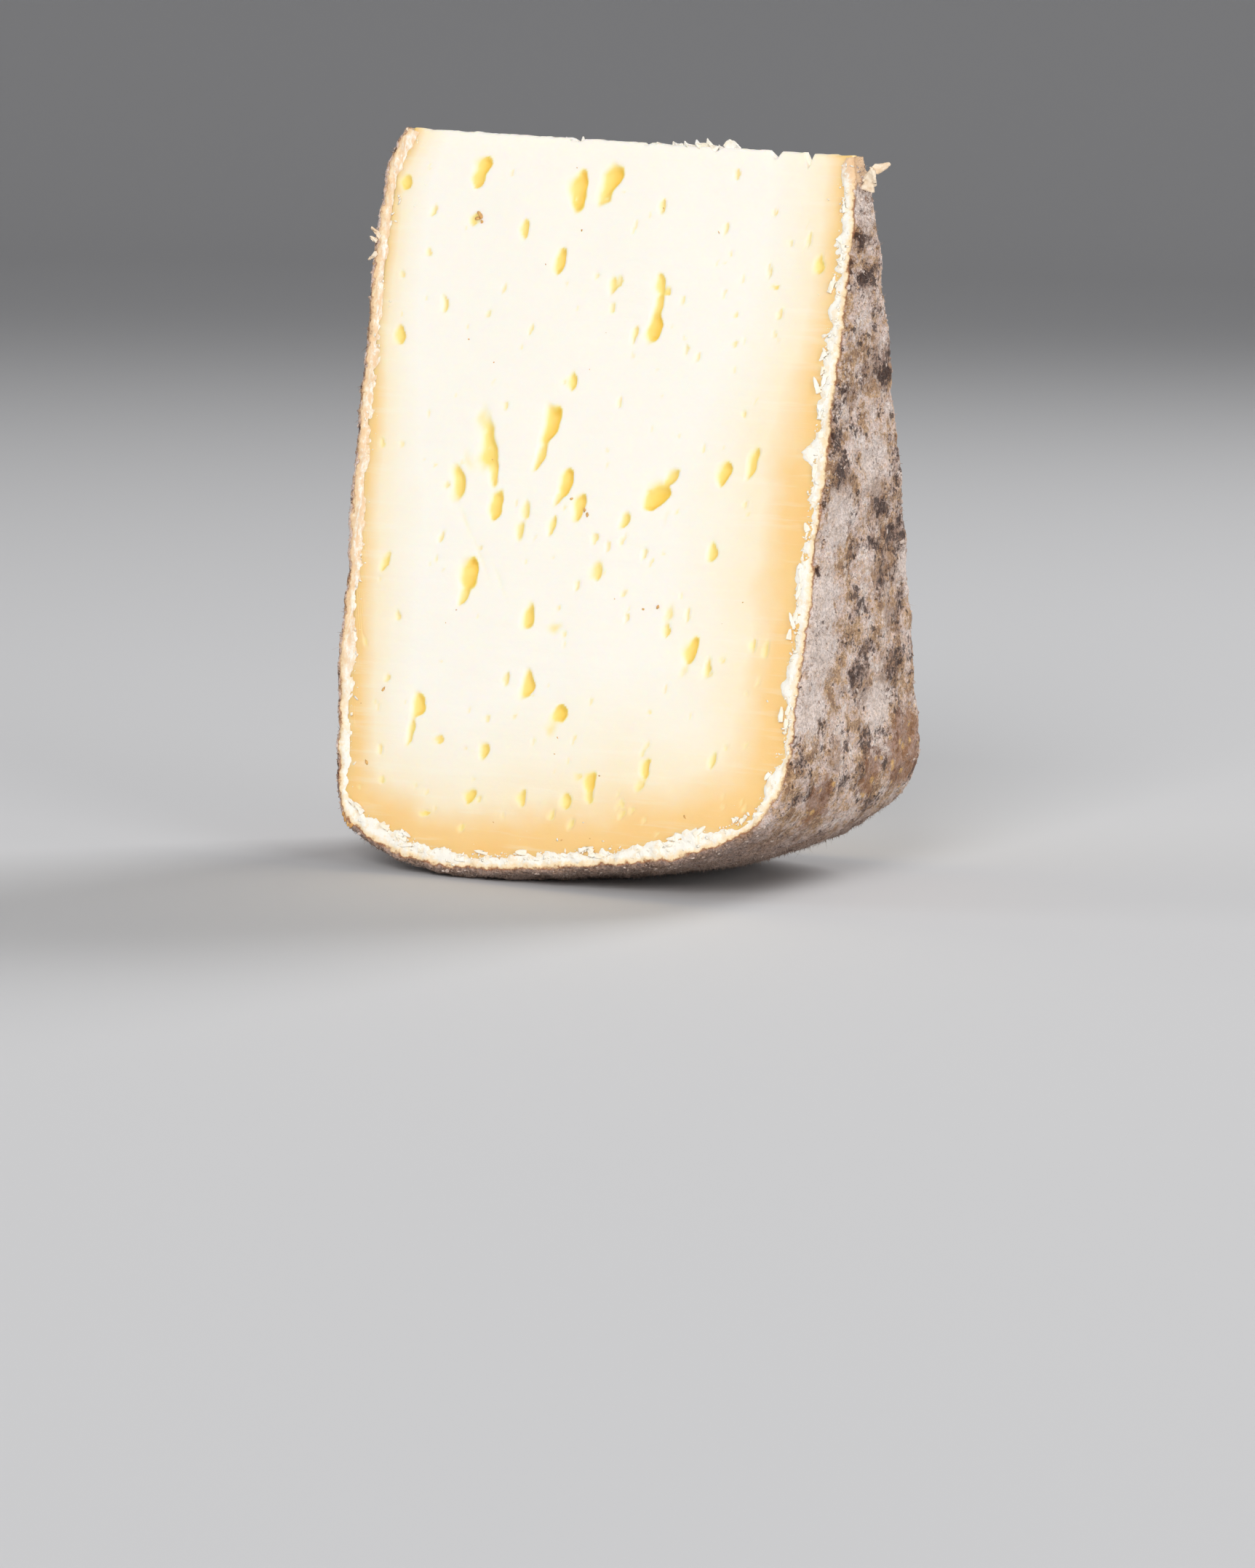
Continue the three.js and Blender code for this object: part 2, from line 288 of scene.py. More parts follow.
class EyePattern:
    """The eyes of both cut faces: the shown face's as seen, the hidden one's by the solid's rule."""

    MAIN = tuple(Eye(*row) for row in (
        (-21.5, 3.6, 2.6, 2.8, 6), (-21.7, 5.2, 2.0, 2.6, 0), (-6.1, 6.5, 2.7, 5.4, 2),
        (-1.2, 4.6, 2.8, 5.0, 10), (-2.0, 7.2, 2.0, 3.2, 14, 0.3), (-13.5, 12, 1.6, 2.4),
        (-7.4, 16.4, 2.1, 3.9, 2), (8.3, 24.4, 2.2, 5.4, 12), (8.4, 19.0, 1.8, 3.0, -10),
        (8.6, 21.6, 1.6, 3.4, 0), (9.8, 19.6, 1.4, 1.1, 70), (7.3, 8.2, 1.1, 2.3, -6),
        (-3.1, 32.7, 1.7, 3.1, 10), (31.3, 15.2, 1.5, 2.8), (-30.8, 27.6, 1.6, 3, -10),
        (-5.5, 38.6, 2.3, 6.2, 4), (-6.4, 43.2, 1.3, 4.8, 18), (-15.8, 38.8, 2.0, 5.0, -10, 0.8),
        (-14.7, 42.2, 3.0, 8.0, -6, 0.25), (-13.3, 45.6, 1.5, 4.0, -16), (-12.2, 49.8, 2.0, 3.8, 10),
        (-18.6, 47.6, 2.1, 5.2, -14, 0.2), (-17.0, 44.6, 1.8, 3.6, -22, 0.9),
        (-16.4, 52.4, 0.9, 6.0, -30, 1), (-2.2, 46.5, 2.3, 4.6, 6), (-2.9, 48.8, 1.2, 2.2, 20),
        (11.8, 47.0, 3.2, 4.6, 46), (13.8, 44.6, 1.5, 3.6, 36), (13.9, 50.2, 0.8, 3.0, 14, 0.9),
        (21.3, 43.9, 2.1, 3.9, 5), (-7.5, 50.6, 1.4, 3.0, 0, 0.2), (-7.8, 53.4, 1.5, 3.0, 10, 0.2),
        (-15.0, 59.8, 2.4, 5.6, -5), (-15.3, 62.8, 1.3, 2.6, 12), (4.3, 58.1, 1.9, 3.4, 0, 0.3),
        (16.2, 62.9, 1.5, 2.6, 15, 0.4), (16.0, 65.2, 1.3, 2.2, 8), (19.8, 68.0, 2.0, 4.0, 4),
        (19.4, 70.8, 1.1, 2.4, 14, 0.5), (-4.9, 64.9, 1.8, 4, 5), (-0.7, 66.2, 2.5, 2.6, 0, 0.7),
        (-3.8, 74.3, 1.9, 4.2), (1.6, 78.0, 2.8, 2.2, -20), (0.6, 79.8, 2.6, 2.4, 0, 0.8),
        (-20, 78.2, 1.9, 4.0, 5), (-20.6, 81.8, 1.1, 3.6, 8), (7.4, 86.2, 2.7, 2.6, 10),
        (7.9, 88.2, 1.5, 2.2, -8), (5.6, 85.8, 1.4, 1.2, 0, 0.3), (-9.1, 83.3, 1.7, 2.8, 10),
        (15.5, 84.0, 1.9, 2.8, 8), (15.0, 86.2, 1.6, 2.2, 30, 0.3), (-2.3, 89.4, 1.5, 2.7),
        (4.5, 89.4, 1.6, 2.5), (-13.2, 57.5, 0.5, 9.0, -32, 1), (-9.8, 60.5, 0.45, 8.0, -30, 1),
    ))
    FAINT = tuple(Eye(*row) for row in (
        (-21.4, 10.7, 1.6, 2), (1.3, 19.3, 1.4, 2.9), (-24.3, 22.9, 1.1, 2.6, -5),
        (-33, 6, 1.9, 2.4, 12), (-31.4, 19.1, 0.9, 1.2), (-27.8, 15.7, 1, 1.4), (17.7, 3.4, 1.1, 1.7),
        (17, 10.9, 0.8, 2), (29.6, 11.7, 0.8, 2), (26.6, 22, 0.8, 1.7, 10), (25.5, 18.5, 1.5, 0.8),
        (20.2, 22.6, 1, 0.9), (13.6, 27.4, 0.8, 2), (20.7, 26.4, 1, 1.1), (23.4, 35.8, 1, 1.3),
        (5.5, 25.8, 1, 2.6), (0.7, 49.5, 1.9, 4.3, 10), (-3.1, 52.4, 1.2, 3.2, 5),
        (-28.2, 59.1, 1.3, 2.6, 8), (7.7, 51.1, 1.4, 2.9, 12), (-7, 73.6, 1, 2.3),
        (-31.1, 42.4, 0.9, 1.7), (25.6, 42.2, 1.3, 5.4, 12), (21.4, 54.4, 1.6, 2.4),
        (29.2, 66.5, 1, 2.3), (31.1, 66.9, 0.8, 2.6, 8), (25.4, 48, 0.8, 1.1), (11.3, 55.2, 0.8, 2.1),
        (23, 70.1, 1.2, 3.3, 5), (-10.2, 89.5, 2, 2.1, 30), (-16.9, 92.6, 1.7, 0.9),
        (-10.9, 94.1, 1.1, 1.2), (-16.1, 82.3, 1.5, 1.2), (25.3, 82.2, 1.1, 2.5, 8),
        (14.5, 89.7, 0.8, 1.2), (-24, 88.6, 1, 1.3, 30), (-29.6, 70, 0.8, 1.2),
    ))
    SEED = 41
    STREAM_STEP = 0x6D2B79F5
    STREAM_MASK = 0xFFFFFFFF
    SHOWN_DRAWS = 110
    SMALL_COUNT, SMALL_WIDTHS = 14, (0.9, 1.8)
    LARGE_COUNT, LARGE_WIDTHS = 22, (1.5, 3.4)
    PIN_HOLES = 150

    def __init__(self, form: WedgeForm) -> None:
        """Draw the hidden face's eyes past the numbers that the solid uses up for the shown face."""
        self.form = form
        self.state = (self.SEED + self.SHOWN_DRAWS * self.STREAM_STEP) & self.STREAM_MASK
        hidden = self.draw([], self.LARGE_COUNT, self.LARGE_WIDTHS)
        hidden += self.draw(hidden, self.SMALL_COUNT, self.SMALL_WIDTHS)
        rng = np.random.default_rng(self.SEED)
        self.faces = {
            Side.SHOWN: [*self.MAIN, *self.FAINT, *self.pin_holes(rng)],
            Side.HIDDEN: hidden + self.pin_holes(rng),
        }

    def random(self) -> float:
        """Give the next number from 0 to 1 of the solid's own stream."""
        mask = self.STREAM_MASK
        self.state = (self.state + self.STREAM_STEP) & mask
        value = self.state
        value = ((value ^ (value >> 15)) * (value | 1)) & mask
        value ^= (value + (((value ^ (value >> 7)) * (value | 61)) & mask)) & mask
        return ((value ^ (value >> 14)) & mask) / (mask + 1)

    def draw(self, taken: list[Eye], count: int, widths: tuple[float, float]) -> list[Eye]:
        """Draw eyes into the free paste of a face.

        Args:
            taken: Eyes that are there already.
            count: How many eyes to draw.
            widths: The least and the greatest width.

        Returns:
            The new eyes.
        """
        drawn: list[Eye] = []
        margin, tip_margin, most_tries = 5, 4, 4000
        half_width = self.form.heel_half_width - margin
        for _ in range(most_tries):
            if len(drawn) >= count:
                break
            width = widths[0] + (widths[1] - widths[0]) * self.random() ** 2
            across = (2 * self.random() - 1) * half_width
            down = tip_margin + self.random() * (self.form.radius - 2 * margin - tip_margin)
            height = width * (1.3 + 1.7 * self.random())
            lean = -15 + 40 * self.random()
            clear = all(
                math.hypot(other.across - across, other.down - down) > (other.height + height) / 2 + 0.6
                for other in [*taken, *drawn]
            )
            if clear:
                drawn.append(Eye(across, down, width, height, lean))
        return drawn

    def pin_holes(self, rng: np.random.Generator) -> list[Eye]:
        """Scatter the finest holes, most of them tall and narrow."""
        return [
            Eye(
                rng.uniform(-31, 32),
                rng.uniform(3, 94),
                width := 0.45 + 0.5 * rng.random() ** 2,
                width * rng.uniform(1.1, 2.6),
                rng.uniform(-10, 25),
            )
            for _ in range(self.PIN_HOLES)
        ]


class Studio:
    """Selection, modelling and finishing steps that every piece shares."""

    @staticmethod
    def clear() -> None:
        """Leave edit mode and deselect everything."""
        if bpy.context.object and bpy.context.object.mode != "OBJECT":
            bpy.ops.object.mode_set(mode="OBJECT")
        bpy.ops.object.select_all(action="DESELECT")

    @staticmethod
    def activate(piece: Piece) -> None:
        """Select one object alone and make it the active one."""
        Studio.clear()
        piece.select_set(True)
        bpy.context.view_layer.objects.active = piece

    @staticmethod
    def grid(name: str, columns: int, rows: int) -> Piece:
        """Add a grid of quads from -1 to 1, to be shaped into a skin.

        Args:
            name: The object's name.
            columns: Quads along X.
            rows: Quads along Y.

        Returns:
            The new object.
        """
        Studio.clear()
        bpy.ops.mesh.primitive_grid_add(x_subdivisions=columns, y_subdivisions=rows, size=2)
        piece = bpy.context.object
        piece.name = name
        piece.data.name = name
        return piece

    @staticmethod
    def points(piece: Piece) -> Array:
        """Read an object's vertices, one row each."""
        flat = np.empty(len(piece.data.vertices) * 3)
        piece.data.vertices.foreach_get("co", flat)
        return flat.reshape(-1, 3)

    @staticmethod
    def move_points(piece: Piece, points: Array) -> None:
        """Write an object's vertices, one row each."""
        piece.data.vertices.foreach_set("co", points.ravel())
        piece.data.update()

    @staticmethod
    def attribute(piece: Piece, name: str, values: Array) -> None:
        """Keep one value for each vertex, for the finish to read."""
        layer = piece.data.attributes.new(name=name, type="FLOAT", domain="POINT")
        layer.data.foreach_set("value", values.astype(np.float32))

    @staticmethod
    def weights(piece: Piece, name: str, values: Array, levels: int) -> None:
        """Make a vertex group from a weight for each vertex, in even levels."""
        group = piece.vertex_groups.new(name=name)
        level = np.round(np.clip(values, 0, 1) * levels).astype(int)
        for step in range(1, levels + 1):
            chosen = np.nonzero(level == step)[0]
            if len(chosen):
                group.add(chosen.tolist(), step / levels, "REPLACE")

    @staticmethod
    def roughen(piece: Piece, bump: float, height: float, group: str = "") -> None:
        """Raise and sink the surface with a procedural pattern, and apply it.

        Args:
            piece: The object.
            bump: The pattern's length, in millimetres.
            height: The relief's height, in millimetres.
            group: The vertex group that limits it, or an empty name.
        """
        Studio.activate(piece)
        pattern = bpy.data.textures.new("relief", "CLOUDS")
        pattern.noise_scale = bump * MM
        relief = piece.modifiers.new("relief", "DISPLACE")
        relief.texture = pattern
        relief.texture_coords = "LOCAL"
        relief.strength = height * MM
        relief.mid_level = 0.5
        relief.vertex_group = group
        bpy.ops.object.modifier_apply(modifier=relief.name)
        bpy.data.textures.remove(pattern)

    @staticmethod
    def select_open_edges() -> None:
        """Go into edit mode with only the active mesh's open edges selected."""
        bpy.ops.object.mode_set(mode="EDIT")
        bpy.ops.mesh.select_mode(type="EDGE")
        bpy.ops.mesh.select_all(action="DESELECT")
        bpy.ops.mesh.select_non_manifold(extend=False, use_boundary=True, use_wire=False)

    @staticmethod
    def bridge_open_edges(piece: Piece) -> None:
        """Join the two open edge loops of a mesh with a strip of faces."""
        Studio.activate(piece)
        Studio.select_open_edges()
        bpy.ops.mesh.bridge_edge_loops(type="SINGLE")
        bpy.ops.object.mode_set(mode="OBJECT")

    @staticmethod
    def face_outwards(piece: Piece) -> None:
        """Turn all faces outwards and shade them smooth."""
        Studio.activate(piece)
        bpy.ops.object.mode_set(mode="EDIT")
        bpy.ops.mesh.select_all(action="SELECT")
        bpy.ops.mesh.normals_make_consistent(inside=False)
        bpy.ops.object.mode_set(mode="OBJECT")
        bpy.ops.object.shade_smooth()

    @staticmethod
    def link(name: str, data: bpy.types.ID) -> Piece:
        """Put new data into the scene as an object."""
        thing = bpy.data.objects.new(name, data)
        bpy.context.scene.collection.objects.link(thing)
        return thing

    @staticmethod
    def join(name: str, pieces: list[Piece]) -> Piece:
        """Join separate meshes into the first of them, and name it."""
        Studio.activate(pieces[0])
        for piece in pieces[1:]:
            piece.select_set(True)
        bpy.ops.object.join()
        pieces[0].name = name
        return pieces[0]

    @staticmethod
    def join_copies(name: str, shape: Piece, copies: list[Array]) -> Piece:
        """Make one mesh of many copies of a shape, and remove the shape.

        Args:
            name: The new object's name.
            shape: The shape whose faces each copy repeats.
            copies: The vertices of each copy, in millimetres.

        Returns:
            The joined object.
        """
        faces = [tuple(face.vertices) for face in shape.data.polygons]
        size = len(shape.data.vertices)
        mesh = bpy.data.meshes.new(name)
        points = np.concatenate(copies) * MM
        all_faces = [tuple(i + size * copy for i in face) for copy in range(len(copies)) for face in faces]
        mesh.from_pydata(points.tolist(), [], all_faces)
        mesh.update()
        piece = Studio.link(name, mesh)
        bpy.data.objects.remove(shape, do_unlink=True)
        Studio.activate(piece)
        bpy.ops.object.shade_smooth()
        return piece

    @staticmethod
    def finish(piece: Piece, material: bpy.types.Material, whole: bool = False) -> None:
        """Dress a piece, tie it to the frame and report it.

        Args:
            piece: The finished mesh.
            material: Its finish.
            whole: True for a piece that stands for the solid.
        """
        piece.data.materials.clear()
        piece.data.materials.append(material)
        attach(piece, BODY)
        if whole:
            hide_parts(NODE)
        LOG.info("%s: %d faces", piece.name, len(piece.data.polygons))


class MaterialGraph:
    """A small hand for building one procedural material."""

    def __init__(self, name: str) -> None:
        """Start an empty material with its shader."""
        self.material = bpy.data.materials.new(name)
        self.material.use_nodes = True
        self.tree = self.material.node_tree
        self.tree.nodes.clear()
        self.shader = self.tree.nodes.new("ShaderNodeBsdfPrincipled")
        output = self.tree.nodes.new("ShaderNodeOutputMaterial")
        self.tree.links.new(self.shader.outputs["BSDF"], output.inputs["Surface"])
        self.object_place = self.tree.nodes.new("ShaderNodeTexCoord").outputs["Object"]

    def feed(self, node: bpy.types.Node, values: dict) -> None:
        """Link a node's inputs to sockets, or set them to plain values."""
        for name, value in values.items():
            if isinstance(value, Socket):
                self.tree.links.new(value, node.inputs[name])
            else:
                node.inputs[name].default_value = value

    def node(self, kind: str, values: dict, **settings: object) -> bpy.types.Node:
        """Add a node.

        Args:
            kind: Its type, without the word that all types start with.
            values: A socket or a plain value for each input that is used.
            settings: The node's own settings.

        Returns:
            The node.
        """
        node = self.tree.nodes.new(f"ShaderNode{kind}")
        for name, setting in settings.items():
            setattr(node, name, setting)
        self.feed(node, values)
        return node

    def place(self, stretch: tuple[float, float, float] = (1, 1, 1), shift: float = 0.0) -> Socket:
        """Give Object coordinates in millimetres.

        Args:
            stretch: How many times longer a pattern becomes along each axis.
            shift: How far the pattern is moved, so that two patterns differ.

        Returns:
            The coordinates' socket.
        """
        scale = [1 / (MM * part) for part in stretch]
        location = (shift, 0.6 * shift, -0.8 * shift)
        values = {"Scale": scale, "Location": location, "Vector": self.object_place}
        return self.node("Mapping", values).outputs["Vector"]

    def noise(self, place: Socket, bump: float, detail: float = 4, rough: float = 0.55) -> Socket:
        """Give noise from 0 to 1 with bumps of a length in millimetres."""
        values = {"Vector": place, "Scale": 1 / bump, "Detail": detail, "Roughness": rough}
        return self.node("TexNoise", values).outputs["Fac"]

    def distance_to_dots(self, place: Socket, spacing: float) -> Socket:
        """Give the distance to the nearest of many scattered points, as a share of their spacing."""
        return self.node("TexVoronoi", {"Vector": place, "Scale": 1 / spacing}).outputs["Distance"]

    def attribute(self, name: str) -> Socket:
        """Read one of the piece's own values."""
        return self.node("Attribute", {}, attribute_name=name).outputs["Fac"]

    def math(self, operation: str, first: object, second: object = 0.0) -> Socket:
        """Work out one sum."""
        return self.node("Math", {0: first, 1: second}, operation=operation).outputs[0]

    def step(self, value: Socket, low: float, high: float) -> Socket:
        """Rise smoothly from 0 at low to 1 at high, or fall where low is the greater."""
        start, end = (0.0, 1.0) if low <= high else (1.0, 0.0)
        values = {"Value": value, "From Min": min(low, high), "From Max": max(low, high)}
        values |= {"To Min": start, "To Max": end}
        return self.node("MapRange", values, interpolation_type="SMOOTHSTEP").outputs["Result"]

    def ramp(self, value: Socket, stops: list[tuple[float, tuple]]) -> Socket:
        """Colour a value by stops of place and colour."""
        node = self.node("ValToRGB", {"Fac": value})
        band = node.color_ramp
        while len(band.elements) < len(stops):
            band.elements.new(0.5)
        for element, (where, colour) in zip(band.elements, stops):
            element.position = where
            element.color = colour
        return node.outputs["Color"]

    def blend(self, amount: object, first: object, second: object, kind: str = "MIX") -> Socket:
        """Mix two colours."""
        values = {0: amount, 6: first, 7: second}
        return self.node("Mix", values, data_type="RGBA", blend_type=kind).outputs[2]

    def tint(self, colour: object, new: object, mask: Socket, share: object) -> Socket:
        """Lay a new colour over another where the mask is up, and at most by the share."""
        return self.blend(self.math("MULTIPLY", mask, share), colour, new)

    def swing(self, noise: Socket, reach: float) -> Socket:
        """Turn noise from 0 to 1 into a swing about zero, by half the reach each way."""
        return self.math("MULTIPLY", self.math("SUBTRACT", noise, 0.5), reach)

    def bump(self, height: Socket, depth: float, under: Socket | None = None) -> Socket:
        """Turn a height into a surface slope, on top of another slope if there is one.

        Args:
            height: The pattern.
            depth: The relief's height in millimetres.
            under: The slope that it is added to.

        Returns:
            The new slope.
        """
        values = {"Height": height, "Strength": 1.0, "Distance": depth * MM}
        if under is not None:
            values["Normal"] = under
        return self.node("Bump", values).outputs["Normal"]

    def dress(self, colour: object, roughness: object, shine: float, slope: Socket | None = None) -> None:
        """Give the shader its colour, its roughness, its specular level and its surface slope."""
        values = {"Base Color": colour, "Roughness": roughness, "Specular IOR Level": shine}
        if slope is not None:
            values["Normal"] = slope
        self.feed(self.shader, values)

    def scatter_light(self, weight: float, reach: tuple[float, float, float], scale: float) -> None:
        """Let light into the surface: its share, its reach in each colour and its scale in millimetres."""
        values = {"Weight": weight, "Radius": reach, "Scale": scale * MM}
        self.feed(self.shader, {f"Subsurface {name}": value for name, value in values.items()})


@dataclass(frozen=True)
class PasteFinish:
    """Cut paste: ivory in the middle, amber towards the rind, and a painted warm tint in the eyes for
    bounce light and shade.
    """

    amber: tuple = srgb(249, 199, 123)
    honey: tuple = srgb(251, 208, 141)
    cream: tuple = srgb(254, 235, 205)
    pale: tuple = srgb(254, 242, 224)
    ivory: tuple = srgb(255, 247, 236)
    # The eyes' colours are painted light: pale on the gentle flank, deepest on the steep wall where shade
    # falls.
    eye_light: tuple = srgb(255, 240, 192)
    eye_middle: tuple = srgb(255, 228, 140)
    eye_deep_shade: tuple = srgb(255, 213, 94)
    smear: tuple = srgb(255, 250, 236)
    reach: float = 24.0

    def make(self) -> bpy.types.Material:
        """Build the material."""
        graph = MaterialGraph("cut_paste")
        place = graph.place()
        inside = graph.attribute("inside")
        drift = graph.swing(graph.noise(place, 11, 3), 7)
        inside = graph.math("DIVIDE", graph.math("ADD", inside, drift), self.reach)
        amber_edge = [(0.08, self.amber), (0.21, self.honey)]
        middle = [(0.42, self.cream), (0.67, self.pale), (1.0, self.ivory)]
        colour = graph.ramp(inside, amber_edge + middle)
        streaks = graph.noise(graph.place((9, 1, 0.8), 4), 1.6, 3, 0.6)
        colour = graph.tint(colour, self.smear, graph.step(streaks, 0.52, 0.68), 0.16)
        # Painted light: the eyes' warm tint stands in for light bounced inside the hollows, deepest on the
        # shaded steep wall.
        eye = graph.attribute("eye")
        eye_tint_painted_light = graph.ramp(eye, [(0.1, self.eye_light), (0.5, self.eye_middle), (0.95, self.eye_deep_shade)])
        colour = graph.blend(graph.step(eye, -0.1, 0.62), colour, eye_tint_painted_light)
        slope = graph.bump(graph.noise(place, 0.7, 4, 0.6), 0.03)
        slope = graph.bump(streaks, 0.035, slope)
        rough = graph.math("ADD", graph.math("MULTIPLY", graph.noise(place, 5, 3), 0.22), 0.4)
        graph.dress(colour, rough, 0.35, slope)
        graph.scatter_light(0.4, (1.0, 0.66, 0.3), 1.7)
        return graph.material


@dataclass(frozen=True)
class RindFinish:
    """Natural rind: mottled grey and tan mould outside, and a white crumbly section where it is cut."""

    lilac: tuple = srgb(226, 201, 190)
    tan: tuple = srgb(212, 174, 132)
    olive: tuple = srgb(158, 122, 94)
    pale: tuple = srgb(242, 227, 220)
    umber: tuple = srgb(64, 40, 30)
    dusk: tuple = srgb(124, 90, 72)
    rust: tuple = srgb(144, 90, 48)
    straw: tuple = srgb(244, 198, 124)
    # Rim colours: the nap's own mottle, laid darker as painted shade on the underside.
    rim_dark_shaded: tuple = srgb(82, 60, 50)
    rim_light_shaded: tuple = srgb(184, 152, 134)
    crust_line: tuple = srgb(164, 104, 64)
    section: tuple = srgb(255, 250, 238)
    section_shade: tuple = srgb(249, 222, 178)
    section_tan: tuple = srgb(243, 206, 162)
    corner: tuple = srgb(240, 200, 156)
    suede_dark: tuple = (0.52, 0.49, 0.46, 1.0)
    suede_middle: tuple = (0.96, 0.94, 0.92, 1.0)
    suede_light: tuple = (1.26, 1.25, 1.23, 1.0)
    patch_x: float = 35.3
    patch_stray: float = 12.0
    patch_border: tuple = (1.3, 0.8)
    dark_patches: tuple = (
        (-2, 87.5, 2), (-0.5, 82, 2), (3, 70, 3.5), (-4.5, 66.5, 2), (-10, 61, 2.5), (-7, 56, 3),
        (3.5, 52, 3), (9, 47, 3), (6, 42.5, 3.5), (9, 36.5, 3), (0, 28, 3), (7, 29.5, 2.5),
        (-7.5, 19, 2.5),
    )
    pale_patches: tuple = (
        (2, 57.5, 3.5), (-8, 51, 4), (-12, 40, 4.5), (-12.5, 33.5, 4.5), (-15.5, 26, 4), (5.5, 25, 3.5),
        (12, 43, 2.5), (0, 93, 4),
    )
    rust_patches: tuple = ((14.5, 18, 5.5), (4, 15.5, 3), (-10, 13, 3.5))
    corner_patches: tuple = ((0, 99, 5),)

    def near(self, graph: MaterialGraph, patches: tuple) -> Socket:
        """Give 1 inside the named patches and 0 outside them, with ragged borders."""
        total: object = 0.0
        place = graph.place()
        stray = graph.swing(graph.noise(place, 2.4, 7, 0.74), self.patch_stray)
        outer, inner = self.patch_border
        for y, z, reach in patches:
            offset = graph.node("VectorMath", {0: place, 1: (self.patch_x, y, z)}, operation="DISTANCE")
            gap = graph.math("ADD", offset.outputs["Value"], stray)
            total = graph.math("MAXIMUM", total, graph.step(gap, outer * reach, inner * reach))
        return total

    def outside(self, graph: MaterialGraph) -> Socket:
        """Colour the mould on the outside of the wheel."""
        place = graph.place()
        patch = graph.noise(graph.place((1, 1.25, 1), 31), 4.2, 9, 0.78)
        colour = graph.ramp(patch, [
            (0.43, self.olive), (0.47, self.tan), (0.495, self.lilac), (0.54, self.lilac),
            (0.57, self.pale),
        ])
        fleck = graph.noise(graph.place((1, 1.2, 1), 57), 0.9, 6, 0.8)
        pale = self.near(graph, self.pale_patches)
        share = graph.math("SUBTRACT", 0.6, graph.math("MULTIPLY", pale, 0.4))
        colour = graph.tint(colour, self.pale, pale, 0.8)
        colour = graph.tint(colour, self.tan, graph.step(fleck, 0.5, 0.57), share)
        dim = self.near(graph, self.dark_patches)
        colour = graph.tint(colour, self.olive, dim, 0.5)
        streak = graph.step(graph.noise(graph.place((1, 1, 1.7), 83), 1.7, 6, 0.7), 0.55, 0.59)
        colour = graph.tint(colour, self.pale, streak, 0.45)
        crowd = graph.math("SUBTRACT", graph.noise(graph.place((1, 1.3, 1.1), 73), 3.6, 4, 0.6), 0.5)
        crowd = graph.math("ADD", graph.math("MULTIPLY", crowd, 0.8), graph.math("MULTIPLY", dim, 0.07))
        crowd = graph.math("SUBTRACT", crowd, graph.math("MULTIPLY", pale, 0.1))
        colour = graph.tint(colour, self.dusk, graph.step(crowd, 0.03, 0.11), 0.55)
        pepper = graph.math("ADD", graph.noise(graph.place((1, 1.2, 1), 7), 0.5, 3, 0.7), crowd)
        colour = graph.tint(colour, self.umber, graph.step(pepper, 0.58, 0.68), 0.8)
        crowd = graph.math("MULTIPLY", crowd, 0.7)
        spots = graph.math("ADD", graph.noise(graph.place((1, 1.2, 1.2), 19), 1.2, 5, 0.62), crowd)
        colour = graph.tint(colour, self.umber, graph.step(spots, 0.61, 0.65), 0.82)

        rust = self.near(graph, self.rust_patches)
        colour = graph.tint(colour, self.rust, rust, 0.66)
        distance = graph.distance_to_dots(graph.place(shift=5), 2.0)
        dots = graph.math("MULTIPLY", graph.step(distance, 0.32, 0.12), graph.step(rust, 0.1, 0.6))
        colour = graph.tint(colour, self.straw, dots, 0.7)
        suede = graph.ramp(graph.noise(place, 0.42, 4, 0.85), [
            (0.37, self.suede_dark), (0.5, self.suede_middle), (0.63, self.suede_light),
        ])
        return graph.blend(0.85, colour, suede, "MULTIPLY")

    def make(self) -> bpy.types.Material:
        """Build the material."""
        graph = MaterialGraph("mould_rind")
        place = graph.place()
        colour = self.outside(graph)
        # On the rim the nap's mottle replaces the mould's colour in darker tones: partly its own colour,
        # partly painted shade on the underside.
        nap = graph.noise(graph.place(shift=91), 0.6, 5, 0.8)
        velvet_with_painted_shade = graph.ramp(nap, [(0.42, self.rim_dark_shaded), (0.58, self.rim_light_shaded)])
        colour = graph.tint(colour, velvet_with_painted_shade, graph.attribute("rim"), 0.82)

        below = graph.attribute("below")
        drift = graph.swing(graph.noise(place, 0.9, 4), 1.6)
        drift = graph.math("MULTIPLY", drift, graph.step(below, 0.02, 0.5))
        ragged = graph.math("ADD", below, drift)
        section = graph.ramp(graph.math("DIVIDE", ragged, 3.0), [
            (0.11, self.crust_line), (0.2, self.section_shade), (0.4, self.section), (1.0, self.section),
        ])
        bits = graph.step(graph.noise(graph.place((1, 1, 1.4), 17), 1.2, 4, 0.7), 0.5, 0.62)
        section = graph.tint(section, self.section_shade, bits, 0.5)
        fibre = graph.noise(graph.place((0.8, 1, 2.6), 27), 0.6, 4, 0.7)
        left = graph.math("MULTIPLY", graph.attribute("left"), graph.step(fibre, 0.64, 0.4))
        section = graph.tint(section, self.section_tan, left, 0.9)
        colour = graph.blend(graph.step(ragged, 0.12, 0.4), colour, section)
        colour = graph.tint(colour, self.corner, self.near(graph, self.corner_patches), 0.85)

        calm = graph.math("SUBTRACT", 1.0, graph.math("MULTIPLY", graph.step(below, 0.0, 0.5), 0.75))
        slope = graph.bump(graph.math("MULTIPLY", graph.noise(place, 1.4, 5, 0.7), calm), 0.45)
        slope = graph.bump(graph.math("MULTIPLY", graph.noise(place, 0.35, 3, 0.7), calm), 0.14, slope)
        graph.dress(colour, 0.92, 0.2, slope)
        graph.feed(graph.shader, {"Sheen Weight": 0.15, "Sheen Roughness": 0.5})
        graph.scatter_light(0.12, (1.0, 0.9, 0.8), 0.6)
        return graph.material


